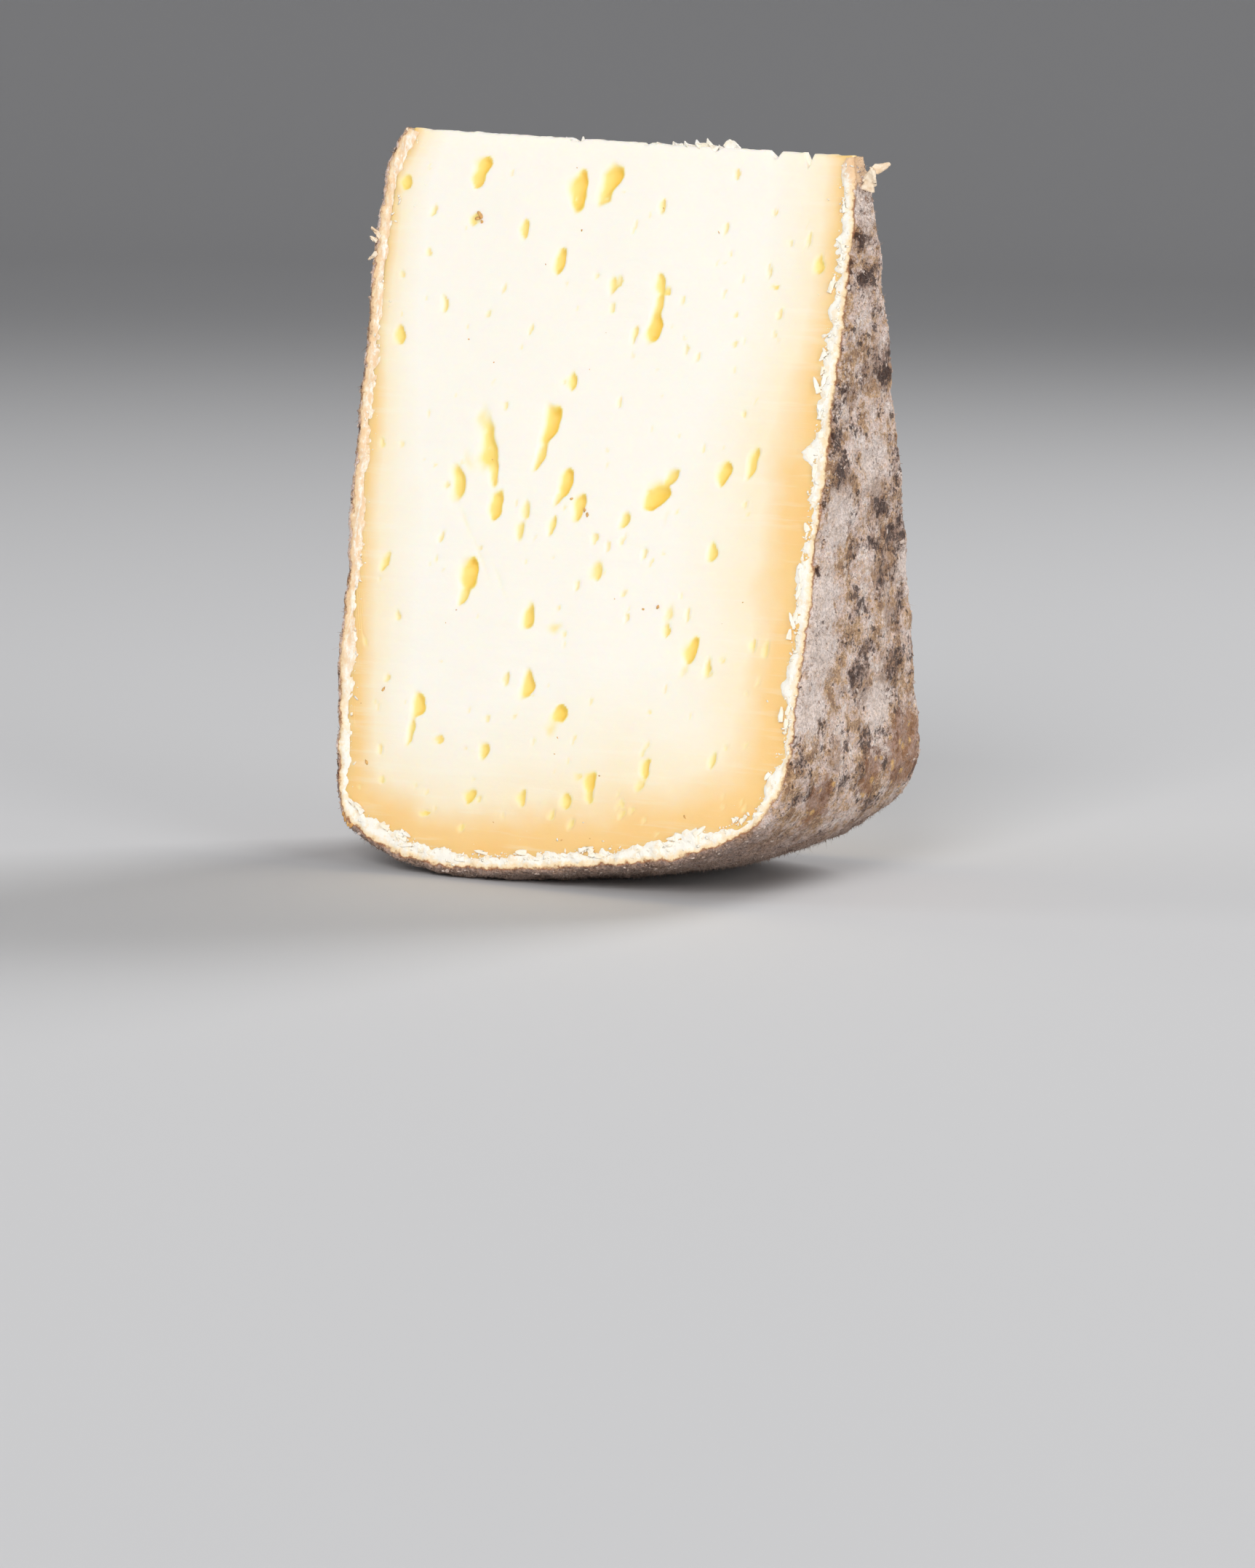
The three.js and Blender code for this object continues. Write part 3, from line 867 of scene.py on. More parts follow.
@dataclass(frozen=True)
class GrainFinish:
    """Crumbs, flakes and hairs: two colours that give way to each other over the length of a change."""

    name: str
    light: tuple
    dark: tuple
    change: float = 2.0
    glow: float = 0.0

    def make(self) -> bpy.types.Material:
        """Build the material."""
        graph = MaterialGraph(self.name)
        place = graph.place()
        shade = graph.noise(place, self.change, 3, 0.7)
        colour = graph.ramp(shade, [(0.36, self.dark), (0.6, self.light)])
        graph.dress(colour, 0.85, 0.25, graph.bump(graph.noise(place, 0.3, 3), 0.04))
        if self.glow:
            graph.scatter_light(self.glow, (1.0, 0.9, 0.8), 0.5)
        return graph.material


@dataclass
class Paste:
    """The paste between the two cuts, with its eyes, its nicked tip and the marks of the cut."""

    form: WedgeForm
    eyes: EyePattern
    under_rind: float = 1.2
    shown_columns: int = 214
    shown_rows: int = 300
    hidden_columns: int = 124
    hidden_rows: int = 172
    straight_to: float = 76.0
    eye_shift: float = -1.0
    eye_spread: float = 1.14
    eye_depth_share: float = 0.23
    deepest_eye: float = 1.15
    eye_border: float = 3.0
    wobble_across: tuple = ((0.5, 3.0), (0.3, 1.4))
    wobble_down: tuple = ((0.7, 3.0), (0.3, 1.4))
    tip_roughness: tuple = ((0.16, 2.3), (0.12, 0.8))
    cut_mark: float = 0.05
    sway: float = 0.12
    first_reach: float = 0.3
    reach_changes: tuple = (
        (0.16, 20, 60), (0.44, 78, 106), (0.22, 115, 145), (-0.2, 150, 185), (-0.36, 205, 240),
    )
    nicks: tuple = ((29, 0.9, 2.4), (24, 1.5, 1.1), (15, 1.2, 0.8), (-6, 1.6, 0.4), (4.5, 1.1, 0.35))
    noise: NoiseField = field(default_factory=lambda: NoiseField(7))

    def build(self) -> Piece:
        """Make the paste as one closed mesh.

        Returns:
            The finished mesh, without its material.
        """
        shown = self.face(Side.SHOWN, self.shown_columns, self.shown_rows)
        hidden = self.face(Side.HIDDEN, self.hidden_columns, self.hidden_rows)
        paste = Studio.join("paste", [shown, hidden])
        Studio.bridge_open_edges(paste)
        Studio.face_outwards(paste)
        return paste

    def face(self, side: Side, columns: int, rows: int) -> Piece:
        """Shape a grid into one cut face.

        Args:
            side: Which cut.
            columns: Quads across.
            rows: Quads from the tip to the rim.

        Returns:
            The face as an open sheet.
        """
        sheet = Studio.grid(f"paste_{side.name.lower()}", columns, rows)
        flat = Studio.points(sheet)
        x, r = self.spread((flat[:, 0] + 1) / 2, (1 - flat[:, 1]) / 2)
        points = self.form.place(x, r, np.full(len(x), float(side.value)))
        dent, tint = self.dents(x, r, side)
        marks = self.cut_mark * self.noise.at(np.stack([x / 6, r, 0 * x], axis=1), 1.5)
        marks += self.sway * self.noise.at(points, 14)
        border = np.abs(flat).max(axis=1) > 1 - 1e-6
        depth = np.where(border, 0, dent + marks)
        points -= depth[:, None] * self.form.cut_direction(side.value)
        Studio.move_points(sheet, points * MM)
        Studio.attribute(sheet, "inside", self.distance_inside(x, r))
        # The eyes' painted tint of bounced light and shade on their walls.
        Studio.attribute(sheet, "eye", tint)
        return sheet

    def spread(self, along: Array, down: Array) -> tuple[Array, Array]:
        """Spread the unit square over the section inside the rind.

        Args:
            along: From 0 on the left to 1 on the right.
            down: From 0 at the tip to 1 at the rim.

        Returns:
            x and r of each place.
        """
        line = self.form.outline(0.5, self.under_rind)
        turn = int(np.argmax(line[:, 1]))
        left, right = line[: turn + 1], line[turn:][::-1]
        left_low = np.interp(self.straight_to, left[:, 1], left[:, 0])
        right_low = np.interp(self.straight_to, right[:, 1], right[:, 0])
        low = line[line[:, 1] >= self.straight_to]
        order = np.maximum.accumulate(low[:, 0])
        x_low = left_low + (right_low - left_low) * along
        bottom = np.interp(x_low, order + 1e-6 * np.arange(len(order)), low[:, 1])
        top = self.tip_line(x_low)
        r = top + (bottom - top) * down
        reach = np.minimum(r, self.straight_to)
        x_left = np.interp(reach, left[:, 1], left[:, 0])
        x_right = np.interp(reach, right[:, 1], right[:, 0])
        return x_left + (x_right - x_left) * along, r

    def tip_line(self, x: Array) -> Array:
        """Give r along the tip's ragged and nicked edge."""
        spots = np.stack([x, 0 * x, 0 * x], axis=1)
        line = self.form.tip_radius(x) + self.noise.mix(spots, self.tip_roughness)
        for place, width, depth in self.nicks:
            part = np.clip(1 - np.abs(x - place) / (width / 2 + 0.15), 0, 1)
            line = line + depth * part**0.5
        return line

    def distance_inside(self, x: Array, r: Array) -> Array:
        """Measure how far each place lies inside the rind's reach.

        The rind has coloured the paste least on the left and furthest in at the rim.

        Args:
            x: Across the face.
            r: Down the face.

        Returns:
            Distances in millimetres, divided by the reach of the nearest stretch of rind.
        """
        line = self.form.outline(1.0)[:, :2]
        run = np.arange(len(line), dtype=float)
        reach = self.first_reach + sum(
            change * smoothstep(start, end, run) for change, start, end in self.reach_changes
        )
        nearest = np.empty(len(x))
        batch = 8000
        for start in range(0, len(x), batch):
            part = slice(start, start + batch)
            gap = np.hypot(x[part, None] - line[None, :, 0], r[part, None] - line[None, :, 1])
            nearest[part] = (gap / reach).min(axis=1)
        return nearest

    def dents(self, x: Array, r: Array, side: Side) -> tuple[Array, Array]:
        """Sink the eyes into a cut face.

        Each eye slopes gently down from its left flank and ends in a steep wall on the right. Eyes that
        touch run together.

        Args:
            x: Across the face.
            r: Down the face.
            side: Which cut.

        Returns:
            How deep each place lies, and how strongly it takes the eyes' tint, which is painted bounce
            light and shade.
        """
        spots = np.stack([x, r, np.full(len(x), 40.0 * side.value)], axis=1)
        warp_x = self.noise.mix(spots, self.wobble_across)
        warp_r = self.noise.mix(spots + 50, self.wobble_down)
        total = np.zeros(len(x))
        mixed = np.zeros((4, len(x)))
        rng = np.random.default_rng(3)
        for eye in self.eyes.faces[side]:
            swing = rng.uniform(0, 2 * math.pi, 2)
            reach = 0.8 * eye.height + 1.2
            near = np.nonzero((np.abs(x - eye.across) < reach) & (np.abs(r - eye.down) < reach))[0]
            if not len(near):
                continue
            lean = math.radians(eye.lean)
            size = min(eye.width, 2.4) / 2.4
            dx = x[near] + size * warp_x[near] - eye.across - self.eye_shift
            dr = r[near] + size * warp_r[near] - eye.down
            flank = (dx * math.cos(lean) + dr * math.sin(lean)) / (self.eye_spread * eye.width / 2)
            rise = (dr * math.cos(lean) - dx * math.sin(lean)) / (eye.height / 2)
            angle = np.arctan2(rise, flank)
            form = 1 + 0.05 * np.cos(2 * angle + swing[0]) + 0.1 * np.cos(3 * angle + swing[1])
            out = np.hypot(flank, rise) / form
            room = self.form.tip_width / 2 + eye.down * math.sin(self.form.half_angle)
            deep = min(self.eye_depth_share * (eye.width + eye.height) / 2, 0.5 * room, self.deepest_eye)
            deep *= 1 - 0.7 * eye.soft
            strength = min(1, 0.12 + 0.3 * eye.width + 0.04 * eye.height) * (1 - 0.4 * eye.soft)
            weight = np.exp(-self.eye_border * (out**2 - 1))
            total[near] += weight
            mixed[:, near] += weight * np.stack([
                np.clip(flank, -1.5, 1.5), 0 * flank + deep, 0 * flank + strength, 0 * flank + eye.soft,
            ])
        flank, deep, strength, soft = mixed / np.maximum(total, 1e-9)
        out = np.sqrt(np.maximum(1 - np.log(np.maximum(total, 1e-6)) / self.eye_border, 0))
        steep = smoothstep(-0.9, 0.9, flank) * (1 - soft)
        fill = np.clip((1 - out) / (0.95 - 0.8 * steep), 0, 1)
        # Painted light: the tint is strongest on the steep wall where shade falls, standing in for light
        # bounced inside the eye.
        colour = np.clip((1.08 + 0.08 * steep - out) / (0.95 - 0.8 * steep), 0, 1)
        return deep * fill * (0.4 + 0.6 * steep), colour * (0.5 + 0.5 * steep) * strength


@dataclass
class Rind:
    """The mouldy rind: its outside on both sides and the rim, and its crumbly section on both cuts."""

    form: WedgeForm
    columns: int = 690
    outside_rows: int = 108
    section_rows: int = 10
    thickness: float = 2.6
    swell: float = 0.35
    spacing: float = 0.25
    least_thickness: float = 1.6
    left_lip: float = 0.4
    edge_rounding: float = 0.4
    section_relief: float = 0.22
    section_drop: float = 0.9
    crags: tuple = ((0.4, 17), (0.28, 7.5))
    unevenness: tuple = ((0.8, 7), (0.9, 2.4), (0.4, 1))
    tongues: tuple = (
        (240.0, 1.6, 2.4), (228.0, 1.2, 1.5), (213.0, 2.2, 2.2), (197.0, 1.8, 4.0), (183.0, 1.0, 3.0),
        (168.0, 1.4, 2.2), (150.0, 1.6, 5.0), (128.0, 1.2, 4.0), (104.0, 1.0, 5.0), (60.0, 0.9, 2.0),
        (32.0, 0.8, 2.0),
    )
    noise: NoiseField = field(default_factory=lambda: NoiseField(19))

    def build(self) -> Piece:
        """Make the rind as one closed mesh.

        Returns:
            The finished mesh, without its material.
        """
        piece = Studio.grid("rind", self.columns, self.outside_rows + 2 * self.section_rows)
        flat = Studio.points(piece)
        points, below, rim, left = self.shape(flat)
        Studio.move_points(piece, points * MM)
        Studio.attribute(piece, "below", below)
        Studio.attribute(piece, "rim", rim)
        Studio.attribute(piece, "left", left)
        Studio.weights(piece, "section", smoothstep(-0.1, 0.5, below), 4)
        self.close(piece)
        Studio.face_outwards(piece)
        Studio.roughen(piece, 1.6, 0.36)
        Studio.roughen(piece, 0.7, 0.34)
        Studio.roughen(piece, 0.8, 0.2, "section")
        self.flatten_foot(piece)
        return piece

    def shape(self, flat: Array) -> tuple[Array, ...]:
        """Wrap the flat grid over the wheel and round both cut edges.

        Args:
            flat: The grid's points, from -1 to 1.

        Returns:
            The places, how far each lies under the outside, and how much each belongs to the rim and to
            the left side.
        """
        form = self.form
        line = form.outline(self.spacing)
        length = self.spacing * (len(line) - 1)
        s = (flat[:, 0] + 1) / 2 * length
        steps = np.arange(len(line)) * self.spacing
        x, r, nx, nr = (np.interp(s, steps, line[:, k]) for k in range(4))
        normal = np.stack([nx, nr], axis=1)

        row = (flat[:, 1] + 1) / 2 * (self.outside_rows + 2 * self.section_rows)
        inner = self.section_rows
        into = np.clip(np.maximum((inner - row) / inner, (row - inner - self.outside_rows) / inner), 0, 1)
        turn = np.clip(-1 + 2 * (row - inner) / self.outside_rows, -1, 1)
        side = np.where(turn < 0, -1.0, 1.0)

        spots = np.stack([s, 0 * s, 60 * side], axis=1)
        left = 1 - smoothstep(68, 86, s)
        uneven = self.noise.mix(spots, self.unevenness)
        thick = self.thickness * (1 - 0.15 * left) + uneven * (1 - 0.4 * left)
        for where, extra, spread in self.tongues:
            thick = thick + extra * np.exp(-(((s - where) / spread) ** 2)) * (side < 0)
        thick = np.maximum(thick, self.least_thickness)
        below = into * thick

        outside = form.outward(normal, turn)
        points = form.place(x - below * nx, r - below * nr, turn)
        base = form.place(x, r, turn)
        edge = (1 - np.abs(turn)) * form.half_angle * np.maximum(r, 0)
        points += (self.height(base, s, edge) * (1 - into))[:, None] * outside

        cut = form.cut_direction(side)
        crumb = self.section_relief * self.noise.fractal(points + 200, 2.2, 3)
        lift = self.section_relief * smoothstep(0, 0.25, into) + crumb * smoothstep(0, 0.15, into)
        lift -= self.section_drop * into**5
        points += (np.where(into > 0, lift, 0))[:, None] * cut
        # The rim mask also places the finish's painted shade on the underside.
        rim = smoothstep(0.55, 0.92, np.abs(nr)) * smoothstep(60, 90, r)
        return points, below, rim, left

    def height(self, base: Array, s: Array, edge: Array) -> Array:
        """Give how far the rind's skin stands out from the wheel's smooth surface.

        Args:
            base: Places on the smooth surface.
            s: How far each lies along the section's outline.
            edge: How far each lies from its nearer cut.

        Returns:
            Heights in millimetres, below zero where the skin lies deeper.
        """
        crag = self.noise.mix(base, self.crags) + 0.26 * self.noise.fractal(base, 3.0, 3)
        lip = self.left_lip * (1 - smoothstep(80, 100, s)) * np.exp(-edge / 4)
        return crag + self.swell + lip - self.edge_rounding * np.exp(-edge / self.edge_rounding)

    def on_skin(self, pick: Array, turn: Array) -> tuple[Array, Array]:
        """Find places on the rough skin.

        Args:
            pick: The number of each place's point on the outline, at its fine spacing.
            turn: From -1 on the shown cut to 1 on the hidden one.

        Returns:
            The places and the outward directions there.
        """
        line = self.form.outline(self.spacing)
        outward = self.form.outward(line[pick, 2:4], turn)
        base = self.form.place(line[pick, 0], line[pick, 1], turn)
        edge = (1 - np.abs(turn)) * self.form.half_angle * np.maximum(line[pick, 1], 0)
        return base + self.height(base, self.spacing * pick, edge)[:, None] * outward, outward

    def close(self, piece: Piece) -> None:
        """Close the rind's hidden inner side and its two ends at the tip."""
        Studio.activate(piece)
        bpy.ops.object.mode_set(mode="EDIT")
        bpy.ops.mesh.select_mode(type="EDGE")
        bpy.ops.mesh.select_all(action="DESELECT")
        bpy.ops.object.mode_set(mode="OBJECT")
        count = self.columns + 1
        rows = self.outside_rows + 2 * self.section_rows
        first, last = set(range(count)), set(range(rows * count, (rows + 1) * count))
        for edge in piece.data.edges:
            ends = set(edge.vertices)
            edge.select = ends <= first or ends <= last
        bpy.ops.object.mode_set(mode="EDIT")
        bpy.ops.mesh.bridge_edge_loops(type="SINGLE")
        Studio.select_open_edges()
        bpy.ops.mesh.fill_holes(sides=0)
        bpy.ops.object.mode_set(mode="OBJECT")

    def flatten_foot(self, piece: Piece) -> None:
        """Press the rim's lowest stretch flat on the surface that the wedge stands on."""
        points = Studio.points(piece)
        points[:, 2] = np.maximum(points[:, 2], 0)
        Studio.move_points(piece, points)


@dataclass
class Crumbs:
    """Small broken bits: white ones on the section, mould grains along the edges, specks in the paste."""

    form: WedgeForm
    rind: Rind
    seed: int = 5
    white_count: int = 2200
    grain_count: int = 1700
    speck_count: int = 46
    shown_specks: int = 26
    shown_share: float = 0.6
    smooth_left: float = -24.0
    kept_on_left: float = 0.15
    stray_share: float = 0.03
    spread_share: float = 0.45
    named_specks: tuple = (
        (-21.4, 10.4, 0.5), (-21, 11.3, 0.4), (-21.8, 10.9, 0.35), (0.7, 50, 0.5), (1.1, 50.6, 0.32),
        (-1.6, 48.6, 0.26), (13.5, 62.4, 0.26), (-26.5, 76.4, 0.26), (-27.6, 86.6, 0.3), (11.4, 62.8, 0.2),
        (-29.7, 94.4, 0.5), (-29.2, 95, 0.45), (-30, 93.9, 0.4), (-28.7, 95.3, 0.4),
    )

    def scatter(self, name: str, places: Array, sizes: Array, flatness: Array, facing: Array) -> Piece:
        """Put a jagged bit of its own size and turn at each place.

        Args:
            name: The piece's name.
            places: The bits' middles, in millimetres.
            sizes: The bits' half lengths.
            flatness: How flat each bit lies against the surface, from 0 to 1.
            facing: The surface's direction at each place.

        Returns:
            The joined bits.
        """
        Studio.clear()
        bpy.ops.mesh.primitive_ico_sphere_add(subdivisions=1, radius=1)
        shape = bpy.context.object
        ball = Studio.points(shape)
        rng = np.random.default_rng(self.seed + len(places))
        copies = []
        for place, size, flat, up in zip(places, sizes, flatness, facing):
            bit = ball * rng.uniform(0.62, 1.3, (len(ball), 1))
            bit = bit * np.array([rng.uniform(0.7, 1.9), rng.uniform(0.5, 1.0), 1 - flat]) * size
            spin = Matrix.Rotation(rng.uniform(0, 2 * math.pi), 3, "Z")
            tilt = Vector(up).to_track_quat("Z", "Y").to_matrix()
            bit = bit @ np.array(tilt @ spin).T + place
            if bit[:, 2].min() > 0:
                copies.append(bit)
        return Studio.join_copies(name, shape, copies)

    def along_section(self, rng: np.random.Generator, length: int, count: int) -> tuple[Array, Array]:
        """Draw places along both cut edges.

        Args:
            rng: The stream of random numbers.
            length: How many points the outline has.
            count: How many places.

        Returns:
            The outline's point number and the side of each place.
        """
        pick = rng.integers(4, length - 4, count)
        return pick, np.where(rng.random(count) < self.shown_share, -1.0, 1.0)

    def white(self) -> Piece:
        """Scatter the white bits that the cut tore from the rind's section."""
        rng = np.random.default_rng(self.seed)
        line = self.form.outline(self.rind.spacing)
        pick, side = self.along_section(rng, len(line), self.white_count)
        x, r = line[pick, 0], line[pick, 1]
        into = 0.5 + 2.3 * rng.beta(2.2, 1.7, self.white_count)
        stray = rng.random(self.white_count) < self.stray_share
        into = into + np.where(stray, rng.uniform(0, 4, self.white_count), 0)
        size = 0.06 + 0.2 * rng.random(self.white_count) ** 2.8
        size = np.where(into > 3.2, 0.7 * size, size)
        places = self.form.place(x - into * line[pick, 2], r - into * line[pick, 3], side)
        facing = self.form.cut_direction(side)
        lift = np.where(into < 2.2, 0.2, 0.0)
        places = places + (lift + 0.3 * size)[:, None] * facing
        keep = (x > self.smooth_left) | (rng.random(self.white_count) < self.kept_on_left)
        flat = rng.uniform(0.5, 0.9, self.white_count)
        return self.scatter("section_crumbs", places[keep], size[keep], flat[keep], facing[keep])

    def grains(self) -> Piece:
        """Scatter the mould grains that stand out along the cut edges and on the rim."""
        rng = np.random.default_rng(self.seed + 1)
        line = self.form.outline(self.rind.spacing)
        pick, side = self.along_section(rng, len(line), self.grain_count)
        angle_in = rng.exponential(1.2, self.grain_count) / np.maximum(line[pick, 1], 8)
        spread = rng.random(self.grain_count) < self.spread_share
        anywhere = rng.uniform(-1, 1, self.grain_count)
        turn = np.where(spread, anywhere, side * (1 - angle_in / self.form.half_angle))
        turn = np.clip(turn, -1, 1)
        places, outward = self.rind.on_skin(pick, turn)
        size = 0.1 + 0.3 * rng.random(self.grain_count) ** 3
        flat = rng.uniform(0.2, 0.7, self.grain_count)
        return self.scatter("rind_grains", places, size, flat, outward)

    def specks(self) -> Piece:
        """Scatter the brown specks that sit in the paste."""
        rng = np.random.default_rng(self.seed + 2)
        drawn = [
            (rng.uniform(-30, 31), rng.uniform(3, 95), 0.06 + 0.11 * rng.random())
            for _ in range(self.speck_count)
        ]
        table = np.array([*self.named_specks, *drawn])
        shown = len(self.named_specks) + self.shown_specks
        side = np.where(np.arange(len(table)) < shown, -1.0, 1.0)
        facing = self.form.cut_direction(side)
        places = self.form.place(table[:, 0], table[:, 1], side)
        return self.scatter("paste_specks", places, table[:, 2], np.full(len(table), 0.55), facing)


@dataclass
class MouldHair:
    """The mould's nap on the rim and its longer stray hairs."""

    form: WedgeForm
    rind: Rind
    nap_count: int = 21000
    stray_count: int = 900
    seed: int = 23

    def hairs(self, name: str, count: int, lengths: tuple[float, float], width: float,
              on_rim: float, bend: float) -> Piece:
        """Grow hairs as thin three-sided points with one joint.

        Args:
            name: The piece's name.
            count: How many hairs.
            lengths: The least and the greatest length.
            width: The thickness at the root.
            on_rim: The share that grows on the rim.
            bend: How far the tip is blown aside, as a share of the length.

        Returns:
            The joined hairs.
        """
        Studio.clear()
        bpy.ops.mesh.primitive_cone_add(vertices=3, radius1=1, radius2=0, depth=1, end_fill_type="NGON")
        shape = bpy.context.object
        cone = Studio.points(shape) + np.array([0, 0, 0.5])
        rng = np.random.default_rng(self.seed + count)
        line = self.form.outline(self.rind.spacing)
        flatness = smoothstep(0.6, 0.98, np.abs(line[:, 3])) * (line[:, 1] > 70)
        weight = on_rim * flatness / flatness.sum() + (1 - on_rim) / len(line)
        weight[:6] = weight[-6:] = 0
        pick = rng.choice(len(line), count, p=weight / weight.sum())
        turn = rng.uniform(-1, 1, count)
        roots, outward = self.rind.on_skin(pick, turn)
        copies = []
        for root, up in zip(roots - 0.2 * outward, outward):
            length = lengths[0] + (lengths[1] - lengths[0]) * rng.random() ** 2
            hair = cone * np.array([width, width, length])
            lean = rng.normal(0, bend, 2) * length
            lean[1] -= 0.25 * bend * length
            hair[:, :2] += lean * cone[:, 2:] ** 2
            hair = hair @ np.array(Vector(up).to_track_quat("Z", "Y").to_matrix()).T + root
            if hair[:, 2].min() > 0:
                copies.append(hair)
        return Studio.join_copies(name, shape, copies)

    def nap(self) -> Piece:
        """Grow the short nap."""
        return self.hairs("rim_nap", self.nap_count, (0.3, 0.75), 0.075, 0.8, 0.6)

    def strays(self) -> Piece:
        """Grow the longer hairs that show against the light."""
        return self.hairs("stray_hairs", self.stray_count, (0.6, 1.7), 0.03, 0.55, 0.6)


@dataclass(frozen=True)
class Flake:
    """One torn flake: its root, size, turn from the right, and curl towards the viewer, in degrees.

    Its end is the width there as a share of the root's.
    """

    root: tuple[float, float, float]
    length: float
    width: float
    turn: float
    curl: float
    end: float = 0.5
    thickness: float = 0.16


@dataclass
class TornFlakes:
    """The flakes that the cut left on the tip's edge and at the top of the rind."""

    form: WedgeForm
    seed: int = 31

    RIND_FLAKES = tuple(Flake(*row) for row in (
        ((35.9, -1.0, -4.9), 3.1, 1.7, 73, 8, 0.85, 0.5),
        ((36.4, -1.1, -2.3), 2.6, 1.15, 22, -16, 0.4, 0.5),
        ((-34.2, -0.3, -0.2), 1.6, 0.8, 104, 12, 0.2, 0.3),
        ((-36.4, -4.3, -13.7), 1.9, 0.7, 132, 10, 0.25, 0.3),
        ((-36.8, -4.6, -14.2), 1.2, 0.6, 150, 10, 0.3, 0.3),
        ((-36.6, -4.8, -15.8), 1.8, 0.6, 212, -10, 0.25, 0.3),
    ))
    PASTE_FLAKES = tuple(Flake(*row) for row in (
        ((15.3, -0.4, -0.5), 1.7, 2.2, 86, 12, 1.0), ((16.2, -0.4, -0.5), 1.0, 1.2, 70, 12, 0.8),
        ((13.9, -0.4, -0.3), 1.1, 1.1, 136, -20, 0.2), ((13.1, -0.3, -0.3), 1.4, 1.3, 144, 16, 0.3),
        ((12.3, -0.4, -0.3), 1.9, 1.4, 124, -16, 0.15), ((11.4, -0.5, -0.2), 1.4, 1.5, 140, 20, 0.4),
        ((10.5, -0.3, -0.2), 1.5, 1.2, 122, -14, 0.15), ((9.6, -0.4, -0.2), 1.2, 1.3, 148, 22, 0.35),
        ((8.7, -0.4, -0.1), 1.2, 1.0, 128, -18, 0.15), ((7.8, -0.3, -0.1), 1.0, 1.1, 150, 14, 0.3),
        ((6.9, -0.4, 0.0), 0.9, 0.9, 126, -14, 0.2), ((4.6, -0.4, 0.0), 0.7, 0.8, 130, 22, 0.3),
        ((-7.2, -0.3, 0.1), 0.9, 0.8, 110, -18, 0.15), ((-8.3, -0.3, 0.1), 0.8, 0.8, 144, 16, 0.3),
        ((-9.6, -0.3, 0.1), 0.8, 0.9, 122, -14, 0.2), ((-11.0, -0.3, 0.1), 0.7, 0.7, 146, 12, 0.2),
        ((19.0, -0.3, -0.7), 0.6, 1.4, 90, 8, 0.9),
    ))
    FLAKE_GRID = (26, 18)
    SHRED_GRID = (14, 6)
    BORDER_COUNT = 80

    def border(self) -> tuple[Flake, ...]:
        """Draw the shreds that lie on both cuts along the inner edge of the rind's section."""
        rng = np.random.default_rng(self.seed)
        line = self.form.outline(0.5)
        shreds = []
        for _ in range(self.BORDER_COUNT):
            pick = rng.integers(190, len(line) - 8)
            x, r, nx, nr = line[pick]
            into = rng.uniform(1.5, 3.0)
            along = math.degrees(math.atan2(nx, nr)) + rng.normal(0, 17)
            along += 180 if rng.random() < 0.5 else 0
            shreds.append(Flake(
                (x - into * nx, 0, -(r - into * nr)),
                rng.uniform(0.8, 2.4), rng.uniform(0.4, 0.9), along, rng.uniform(-3, 3), 0.7,
                rng.uniform(0.18, 0.28),
            ))
        return tuple(shreds)

    def build(self, name: str, flakes: tuple[Flake, ...], on_cut: bool = False) -> Piece:
        """Make a set of flakes as one mesh.

        Args:
            name: The piece's name.
            flakes: The flakes.
            on_cut: True for flakes that lie on the cut faces, on each of them in turn.

        Returns:
            The joined flakes.
        """
        noise = NoiseField(self.seed)
        middle = np.array([*self.form.middle, self.form.flat_depth - self.form.radius])
        made = []
        for number, flake in enumerate(flakes):
            sheet = Studio.grid(f"{name}_{number}", *(self.SHRED_GRID if on_cut else self.FLAKE_GRID))
            flat = Studio.points(sheet)
            along, across = (flat[:, 0] + 1) / 2, flat[:, 1]
            apart = np.full(len(flat), 9.0 * number)
            spots = np.stack([along * flake.length, across * flake.width / 2, apart], axis=1)
            taper = 1 - (1 - flake.end) * along**1.5
            round_end = np.sqrt(np.clip(1.02 - (across**2) * 0.75, 0.05, 1))
            length = flake.length * along * (round_end + 0.22 * noise.at(spots * [0, 1, 1], 0.6))
            side = across * taper * flake.width / 2 * (1 + 0.28 * noise.at(spots * [1, 0, 1], 0.8))
            curl = math.radians(flake.curl) * along * 1.4
            lift = (0.1 if on_cut else 0.18) * noise.at(spots, 1.1) * (0.3 + along)
            points = np.stack([length * np.cos(curl), -length * np.sin(curl) - lift, side], axis=1)
            turn = np.array(Matrix.Rotation(-math.radians(flake.turn), 3, "Y"))
            points = points @ turn.T + np.array(flake.root)
            if on_cut:
                points = self.on_cut(points, -1 if number % 3 else 1)
            Studio.move_points(sheet, (points - middle) * MM)
            self.thicken(sheet, flake.thickness)
            made.append(sheet)
        return Studio.join(name, made)

    def on_cut(self, points: Array, side: int) -> Array:
        """Lay places that were modelled upright against a cut face."""
        angle = self.form.half_angle
        away = -points[:, 1] + 0.2
        down = -points[:, 2]
        across = down * math.sin(angle) + self.form.tip_width / 2 + away * math.cos(angle)
        height = -down * math.cos(angle) + away * math.sin(angle)
        return np.stack([points[:, 0], side * across, height], axis=1)

    def thicken(self, sheet: Piece, thickness: float) -> None:
        """Give a sheet its thickness and a rough surface."""
        Studio.activate(sheet)
        wall = sheet.modifiers.new("wall", "SOLIDIFY")
        wall.thickness = thickness * MM
        wall.offset = 0
        bpy.ops.object.modifier_apply(modifier=wall.name)
        Studio.roughen(sheet, 0.6, min(0.2, 0.9 * thickness))
        Studio.face_outwards(sheet)


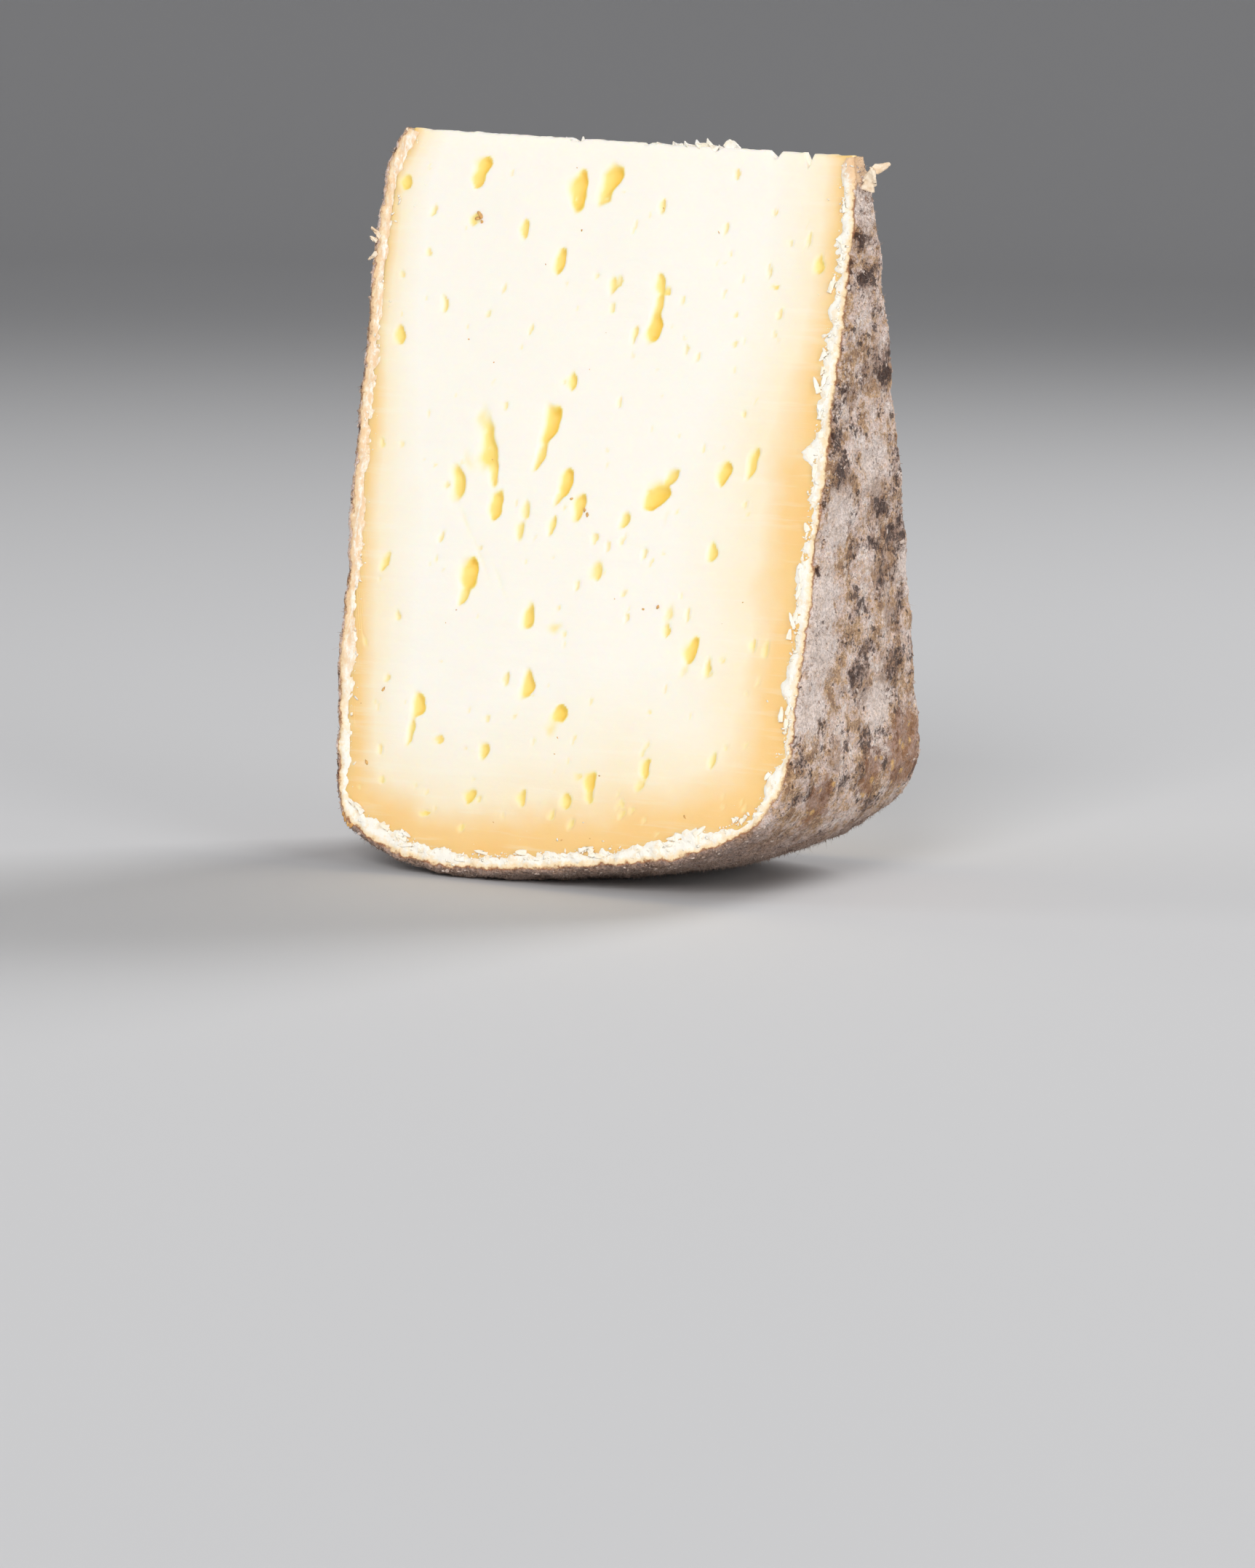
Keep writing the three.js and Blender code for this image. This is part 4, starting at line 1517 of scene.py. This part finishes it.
@dataclass(frozen=True)
class Camera:
    """The viewpoint of the photograph, level with the tip and to the right of the shown cut."""

    place: tuple[float, float, float] = (366.4, -700.7, 116.1)
    azimuth: float = 27.55
    below_level: float = 7.54
    roll: float = 1.29
    focal_pixels: float = 8000.0
    long_side_pixels: float = 2156.0
    sensor: float = 36.0

    def make(self) -> None:
        """Add the camera and make it the scene's own."""
        data = bpy.data.cameras.new("camera")
        data.sensor_width = self.sensor
        data.lens = self.focal_pixels / self.long_side_pixels * self.sensor
        data.clip_start = 0.01
        data.clip_end = 20
        camera = Studio.link("camera", data)
        upright = Matrix.Rotation(math.radians(self.azimuth), 4, "Z")
        tilt = Matrix.Rotation(math.radians(90 - self.below_level), 4, "X")
        roll = Matrix.Rotation(math.radians(self.roll), 4, "Z")
        camera.matrix_world = Matrix.Translation(Vector(self.place) * MM) @ upright @ tilt @ roll
        bpy.context.scene.camera = camera


@dataclass(frozen=True)
class Lamp:
    """A soft rectangular light aimed at the wedge."""

    name: str
    azimuth: float
    elevation: float
    distance: float
    size: float
    power: float
    spread: float
    aim: tuple[float, float, float] = (0.0, 0.0, 0.05)

    def make(self) -> None:
        """Add the light."""
        data = bpy.data.lights.new(self.name, "AREA")
        data.shape = "SQUARE"
        data.size = self.size
        data.energy = self.power
        data.spread = math.radians(self.spread)
        lamp = Studio.link(self.name, data)
        turn, rise = math.radians(self.azimuth), math.radians(self.elevation)
        away = Vector((math.sin(turn) * math.cos(rise), -math.cos(turn) * math.cos(rise), math.sin(rise)))
        lamp.location = Vector(self.aim) + away * self.distance
        lamp.rotation_mode = "QUATERNION"
        lamp.rotation_quaternion = (-away).to_track_quat("-Z", "Y")
        lamp.visible_camera = False


@dataclass(frozen=True)
class Backdrop:
    """A pale round floor that curves up into a wall on every side, and the light of the room."""

    flat_radius: float = 1.9
    bend_radius: float = 1.6
    wall_height: float = 0.6
    colour: tuple = srgb(208, 208, 209)
    room: tuple = srgb(224, 224, 226)
    room_strength: float = 0.36

    def make(self) -> None:
        """Add the floor and the room's light."""
        Studio.clear()
        bpy.ops.mesh.primitive_circle_add(vertices=96, radius=self.flat_radius, fill_type="NGON")
        floor = bpy.context.object
        floor.name = "studio_floor"
        rings = 24
        Studio.select_open_edges()
        reach, height = self.flat_radius, 0.0
        for ring in range(1, rings + 2):
            angle = min(ring, rings) / rings * math.pi / 2
            new_reach = self.flat_radius + self.bend_radius * math.sin(angle)
            wall = self.wall_height if ring > rings else 0
            new_height = self.bend_radius * (1 - math.cos(angle)) + wall
            bpy.ops.mesh.extrude_edges_move(TRANSFORM_OT_translate={"value": (0, 0, new_height - height)})
            bpy.ops.transform.resize(value=(new_reach / reach, new_reach / reach, 1))
            reach, height = new_reach, new_height
        bpy.ops.object.mode_set(mode="OBJECT")
        bpy.ops.object.shade_smooth()
        graph = MaterialGraph("studio_floor")
        graph.dress(self.colour, 0.85, 0.15)
        floor.data.materials.append(graph.material)
        world = bpy.data.worlds.new("studio")
        world.use_nodes = True
        background = world.node_tree.nodes["Background"]
        background.inputs["Color"].default_value = self.room
        background.inputs["Strength"].default_value = self.room_strength
        bpy.context.scene.world = world


def set_up_studio() -> None:
    """Add the camera, the lights and the backdrop."""
    Camera().make()
    Backdrop().make()
    lamps = (
        Lamp("key", azimuth=14, elevation=26, distance=2.2, size=0.88, power=4.5, spread=70),
        Lamp("fill", azimuth=66, elevation=12, distance=1.6, size=0.7, power=2.0, spread=90),
        Lamp("left", azimuth=-60, elevation=22, distance=1.8, size=0.7, power=1.05, spread=90),
        Lamp("back", azimuth=158, elevation=32, distance=2.0, size=0.9, power=4.6, spread=70),
    )
    for lamp in lamps:
        lamp.make()
    scene = bpy.context.scene
    scene.view_settings.view_transform = "Standard"
    scene.view_settings.look = "None"


def main() -> None:
    """Build the wedge and its studio."""
    logging.basicConfig(level=logging.INFO, format="%(name)s %(message)s")
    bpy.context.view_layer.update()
    set_up_studio()

    form = WedgeForm()
    Studio.finish(Paste(form, EyePattern(form)).build(), PasteFinish().make(), whole=True)
    rind = Rind(form)
    Studio.finish(rind.build(), RindFinish().make(), whole=True)

    white = GrainFinish("section_crumbs", srgb(255, 251, 240), srgb(255, 242, 216), 2.0).make()
    grain = GrainFinish("mould_grains", srgb(214, 196, 184), srgb(150, 124, 108), 1.4).make()
    speck = GrainFinish("brown_specks", srgb(236, 188, 120), srgb(196, 146, 92), 0.8).make()
    hair = GrainFinish("mould_hair", srgb(200, 178, 164), srgb(128, 104, 90), 1.2).make()
    torn_paste = GrainFinish("torn_paste", srgb(255, 252, 244), srgb(253, 240, 214), 2.5, 0.3).make()
    torn_rind = GrainFinish("torn_rind", srgb(252, 236, 212), srgb(232, 202, 166), 1.2).make()
    crumbs, mould, flakes = Crumbs(form, rind), MouldHair(form, rind), TornFlakes(form)
    for piece, material in (
        (crumbs.white(), white),
        (crumbs.grains(), grain),
        (crumbs.specks(), speck),
        (mould.nap(), hair),
        (mould.strays(), hair),
        (flakes.build("tip_flakes", flakes.PASTE_FLAKES), torn_paste),
        (flakes.build("rind_flakes", flakes.RIND_FLAKES), torn_rind),
        (flakes.build("section_shreds", flakes.border(), on_cut=True), white),
    ):
        Studio.finish(piece, material)
    Studio.clear()


if __name__ == "__main__":
    main()
